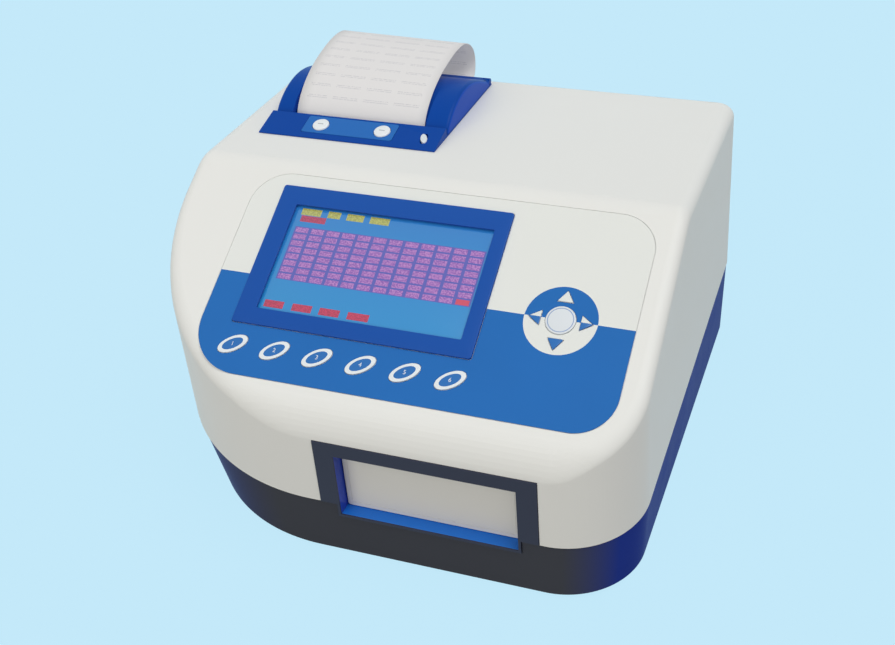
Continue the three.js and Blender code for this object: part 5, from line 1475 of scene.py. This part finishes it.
def makePaperPaint():
    # faint printed rows of broken dashes, in blocks across the strip, and a faint glow that is
    # painted light lifting the strip's shaded side
    paint = Paint("printedPaper", specular=0.2, glow=(0.9, 0.885, 0.89, 1), glowStrength=0.18)
    marks = strip["print"]
    flat = paint.node("UVMap", {"uv_map": "UVMap"})
    across, along = (paint.node("SeparateXYZ", None, {0: flat}, axis) for axis in range(2))
    letters = paint.node("TexNoise", None, {
        "Vector": paint.node("Mapping", None, {"Vector": flat, "Scale": (1.1, 0.35, 1)}),
        "Scale": 1.0, "Detail": 1,
    })
    down = along % marks["pitch"]
    row = within(down, (0, marks["height"])) * within(down % marks["line"], marks["stroke"])
    block = within(across % marks["block"], marks["filled"])
    block = block * within(across, marks["across"]) * within(along, marks["along"])
    ink = row * block * (letters > 0.45)
    fibre = paint.node("TexNoise", None, {"Vector": flat, "Scale": 0.6, "Detail": 3})
    white = paint.drift(fibre, finishes["paper"], 0.98, 1.02)
    paint.set(
        colour=paint.mix(marks["ink"] * ink, white, (0.25, 0.25, 0.30, 1)),
        roughness=0.68 + 0.1 * fibre,
    )
    paint.bump(fibre, 0.00004, 0.4)
    return paint


def paperStrip():
    line = curveThrough([Vector(point) for point in strip["path"]], strip["between"])
    run = [0]
    for first, last in zip(line, line[1:]):
        run.append(run[-1] + (last - first).length)
    low, high = strip["x"]
    bm = bmesh.new()
    flat = bm.loops.layers.uv.new("UVMap")
    bmesh.ops.create_grid(bm, x_segments=strip["across"], y_segments=len(line) - 1, size=0.5)
    for face in bm.faces:
        for corner in face.loops:
            row = round((corner.vert.co.y + 0.5) * (len(line) - 1))
            corner[flat].uv = ((high - low) * (corner.vert.co.x + 0.5), run[row])
    foot, top = strip["path"][0][1], max(point.y for point in line)
    for vert in bm.verts:
        side = vert.co.x
        point = line[round((vert.co.y + 0.5) * (len(line) - 1))]
        rise = -2 * side * strip["twist"] * max(0, (point.y - foot) / (top - foot)) ** 2
        vert.co = (low + (high - low) * (side + 0.5), point.x, point.y + rise)
    place(bm, bodyFrame)
    mesh = meshOf(bm, "paperStrip", 60)
    piece = show(mesh, "paperStrip", None, ["paper_strip"], "thermal_paper", [makePaperPaint()])
    skin = piece.modifiers.new("thickness", "SOLIDIFY")
    skin.thickness = strip["thickness"] * mm
    skin.offset = 0
    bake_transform(piece)


paperStrip()
print("paper strip is made")


# What shows through the openings and behind: the other nodes with worked edges
others = {
    "chassis_plate": ("housing", "sheet_steel", sheetPaint, 0.3),
    "plate_carrier": ("drawer", "black_plastic", blackPaint, 0.4),
    "drawer_rod_left": ("housing", "ground_steel", groundPaint, 0.4),
    "drawer_rod_right": ("housing", "ground_steel", groundPaint, 0.4),
    "drawer_frame": ("housing", "sheet_steel", sheetPaint, 0.3),
    "drive_pulley": ("drive_pulley", "cast_aluminium", castPaint, 0.15),
    "idler_pulley": ("idler_pulley", "cast_aluminium", castPaint, 0.15),
    "drawer_belt": ("housing", "black_rubber", rubberPaint, 0),
    "drawer_motor": ("housing", "motor_black", motorPaint, 0.4),
    "read_head": ("read_head", "black_plastic", blackPaint, 0.3),
    "head_rod_front": ("housing", "ground_steel", groundPaint, 0.4),
    "head_rod_rear": ("housing", "ground_steel", groundPaint, 0.4),
    "head_frame": ("housing", "sheet_steel", sheetPaint, 0.3),
    "head_screw": ("head_screw", "ground_steel", groundPaint, 0.3),
    "head_motor": ("housing", "motor_black", motorPaint, 0.4),
    "lamp_housing": ("housing", "cast_aluminium", castPaint, 0.3),
    "filter_wheel": ("filter_wheel", "cast_aluminium", castPaint, 0.2),
    "filter_motor": ("housing", "sheet_steel", sheetPaint, 0.3),
    "power_supply": ("housing", "sheet_steel", sheetPaint, 0.4),
    "main_board": ("housing", "board_green", boardPaint, 0.15),
    "rear_panel": ("housing", "sheet_steel", sheetPaint, 0.2),
    "fan_frame": ("housing", "black_plastic", blackPaint, 0.3),
    "fan_rotor": ("fan_rotor", "black_plastic", blackPaint, 0.2),
    "mains_inlet": ("housing", "black_plastic", blackPaint, 0.3),
    "power_switch": ("power_switch", "switch_black", switchPaint, 0.3),
    "data_ports": ("housing", "socket_metal", socketPaint, 0.2),
    "keypad_board": ("housing", "board_green", boardPaint, 0.1),
    "display_board": ("housing", "module_metal", modulePaint, 0.3),
    "paper_roll": ("paper_roll", "thermal_paper", None, 0.3),
    "platen_roller": ("platen_roller", "black_rubber", rubberPaint, 0.2),
    "thermal_head": ("housing", "module_metal", modulePaint, 0.3),
}


rollAxis = (0, 310.018, 193)


def makeRollPaint():
    # the wound edge shows as fine rings round the roll's axis
    paint = Paint("woundPaper", specular=0.25)
    axis = bodyFrame @ Vector(rollAxis)
    offset = paint.node("VectorMath", {"operation": "SUBTRACT"}, {0: paint.place(), 1: axis})
    flat = paint.node("VectorMath", {"operation": "MULTIPLY"}, {0: offset, 1: (0, 1, 1)})
    radius = paint.node("VectorMath", {"operation": "LENGTH"}, {0: flat}, 1)
    layer = paint.node("Math", {"operation": "SINE"}, {0: radius * 9000})
    tone = paint.mix(layer * 0.5 + 0.5, shade(finishes["paper"], 0.86), finishes["paper"])
    paint.set(colour=tone, roughness=0.7 + 0.05 * layer)
    paint.bump(layer, 0.00003, 0.5)
    return paint


rollPaint = makeRollPaint()
for nodeName, (carrier, slotName, paint, width) in others.items():
    copied(nodeName, carrier, slotName, paint or rollPaint, width)
print("the pieces inside and behind are dressed")
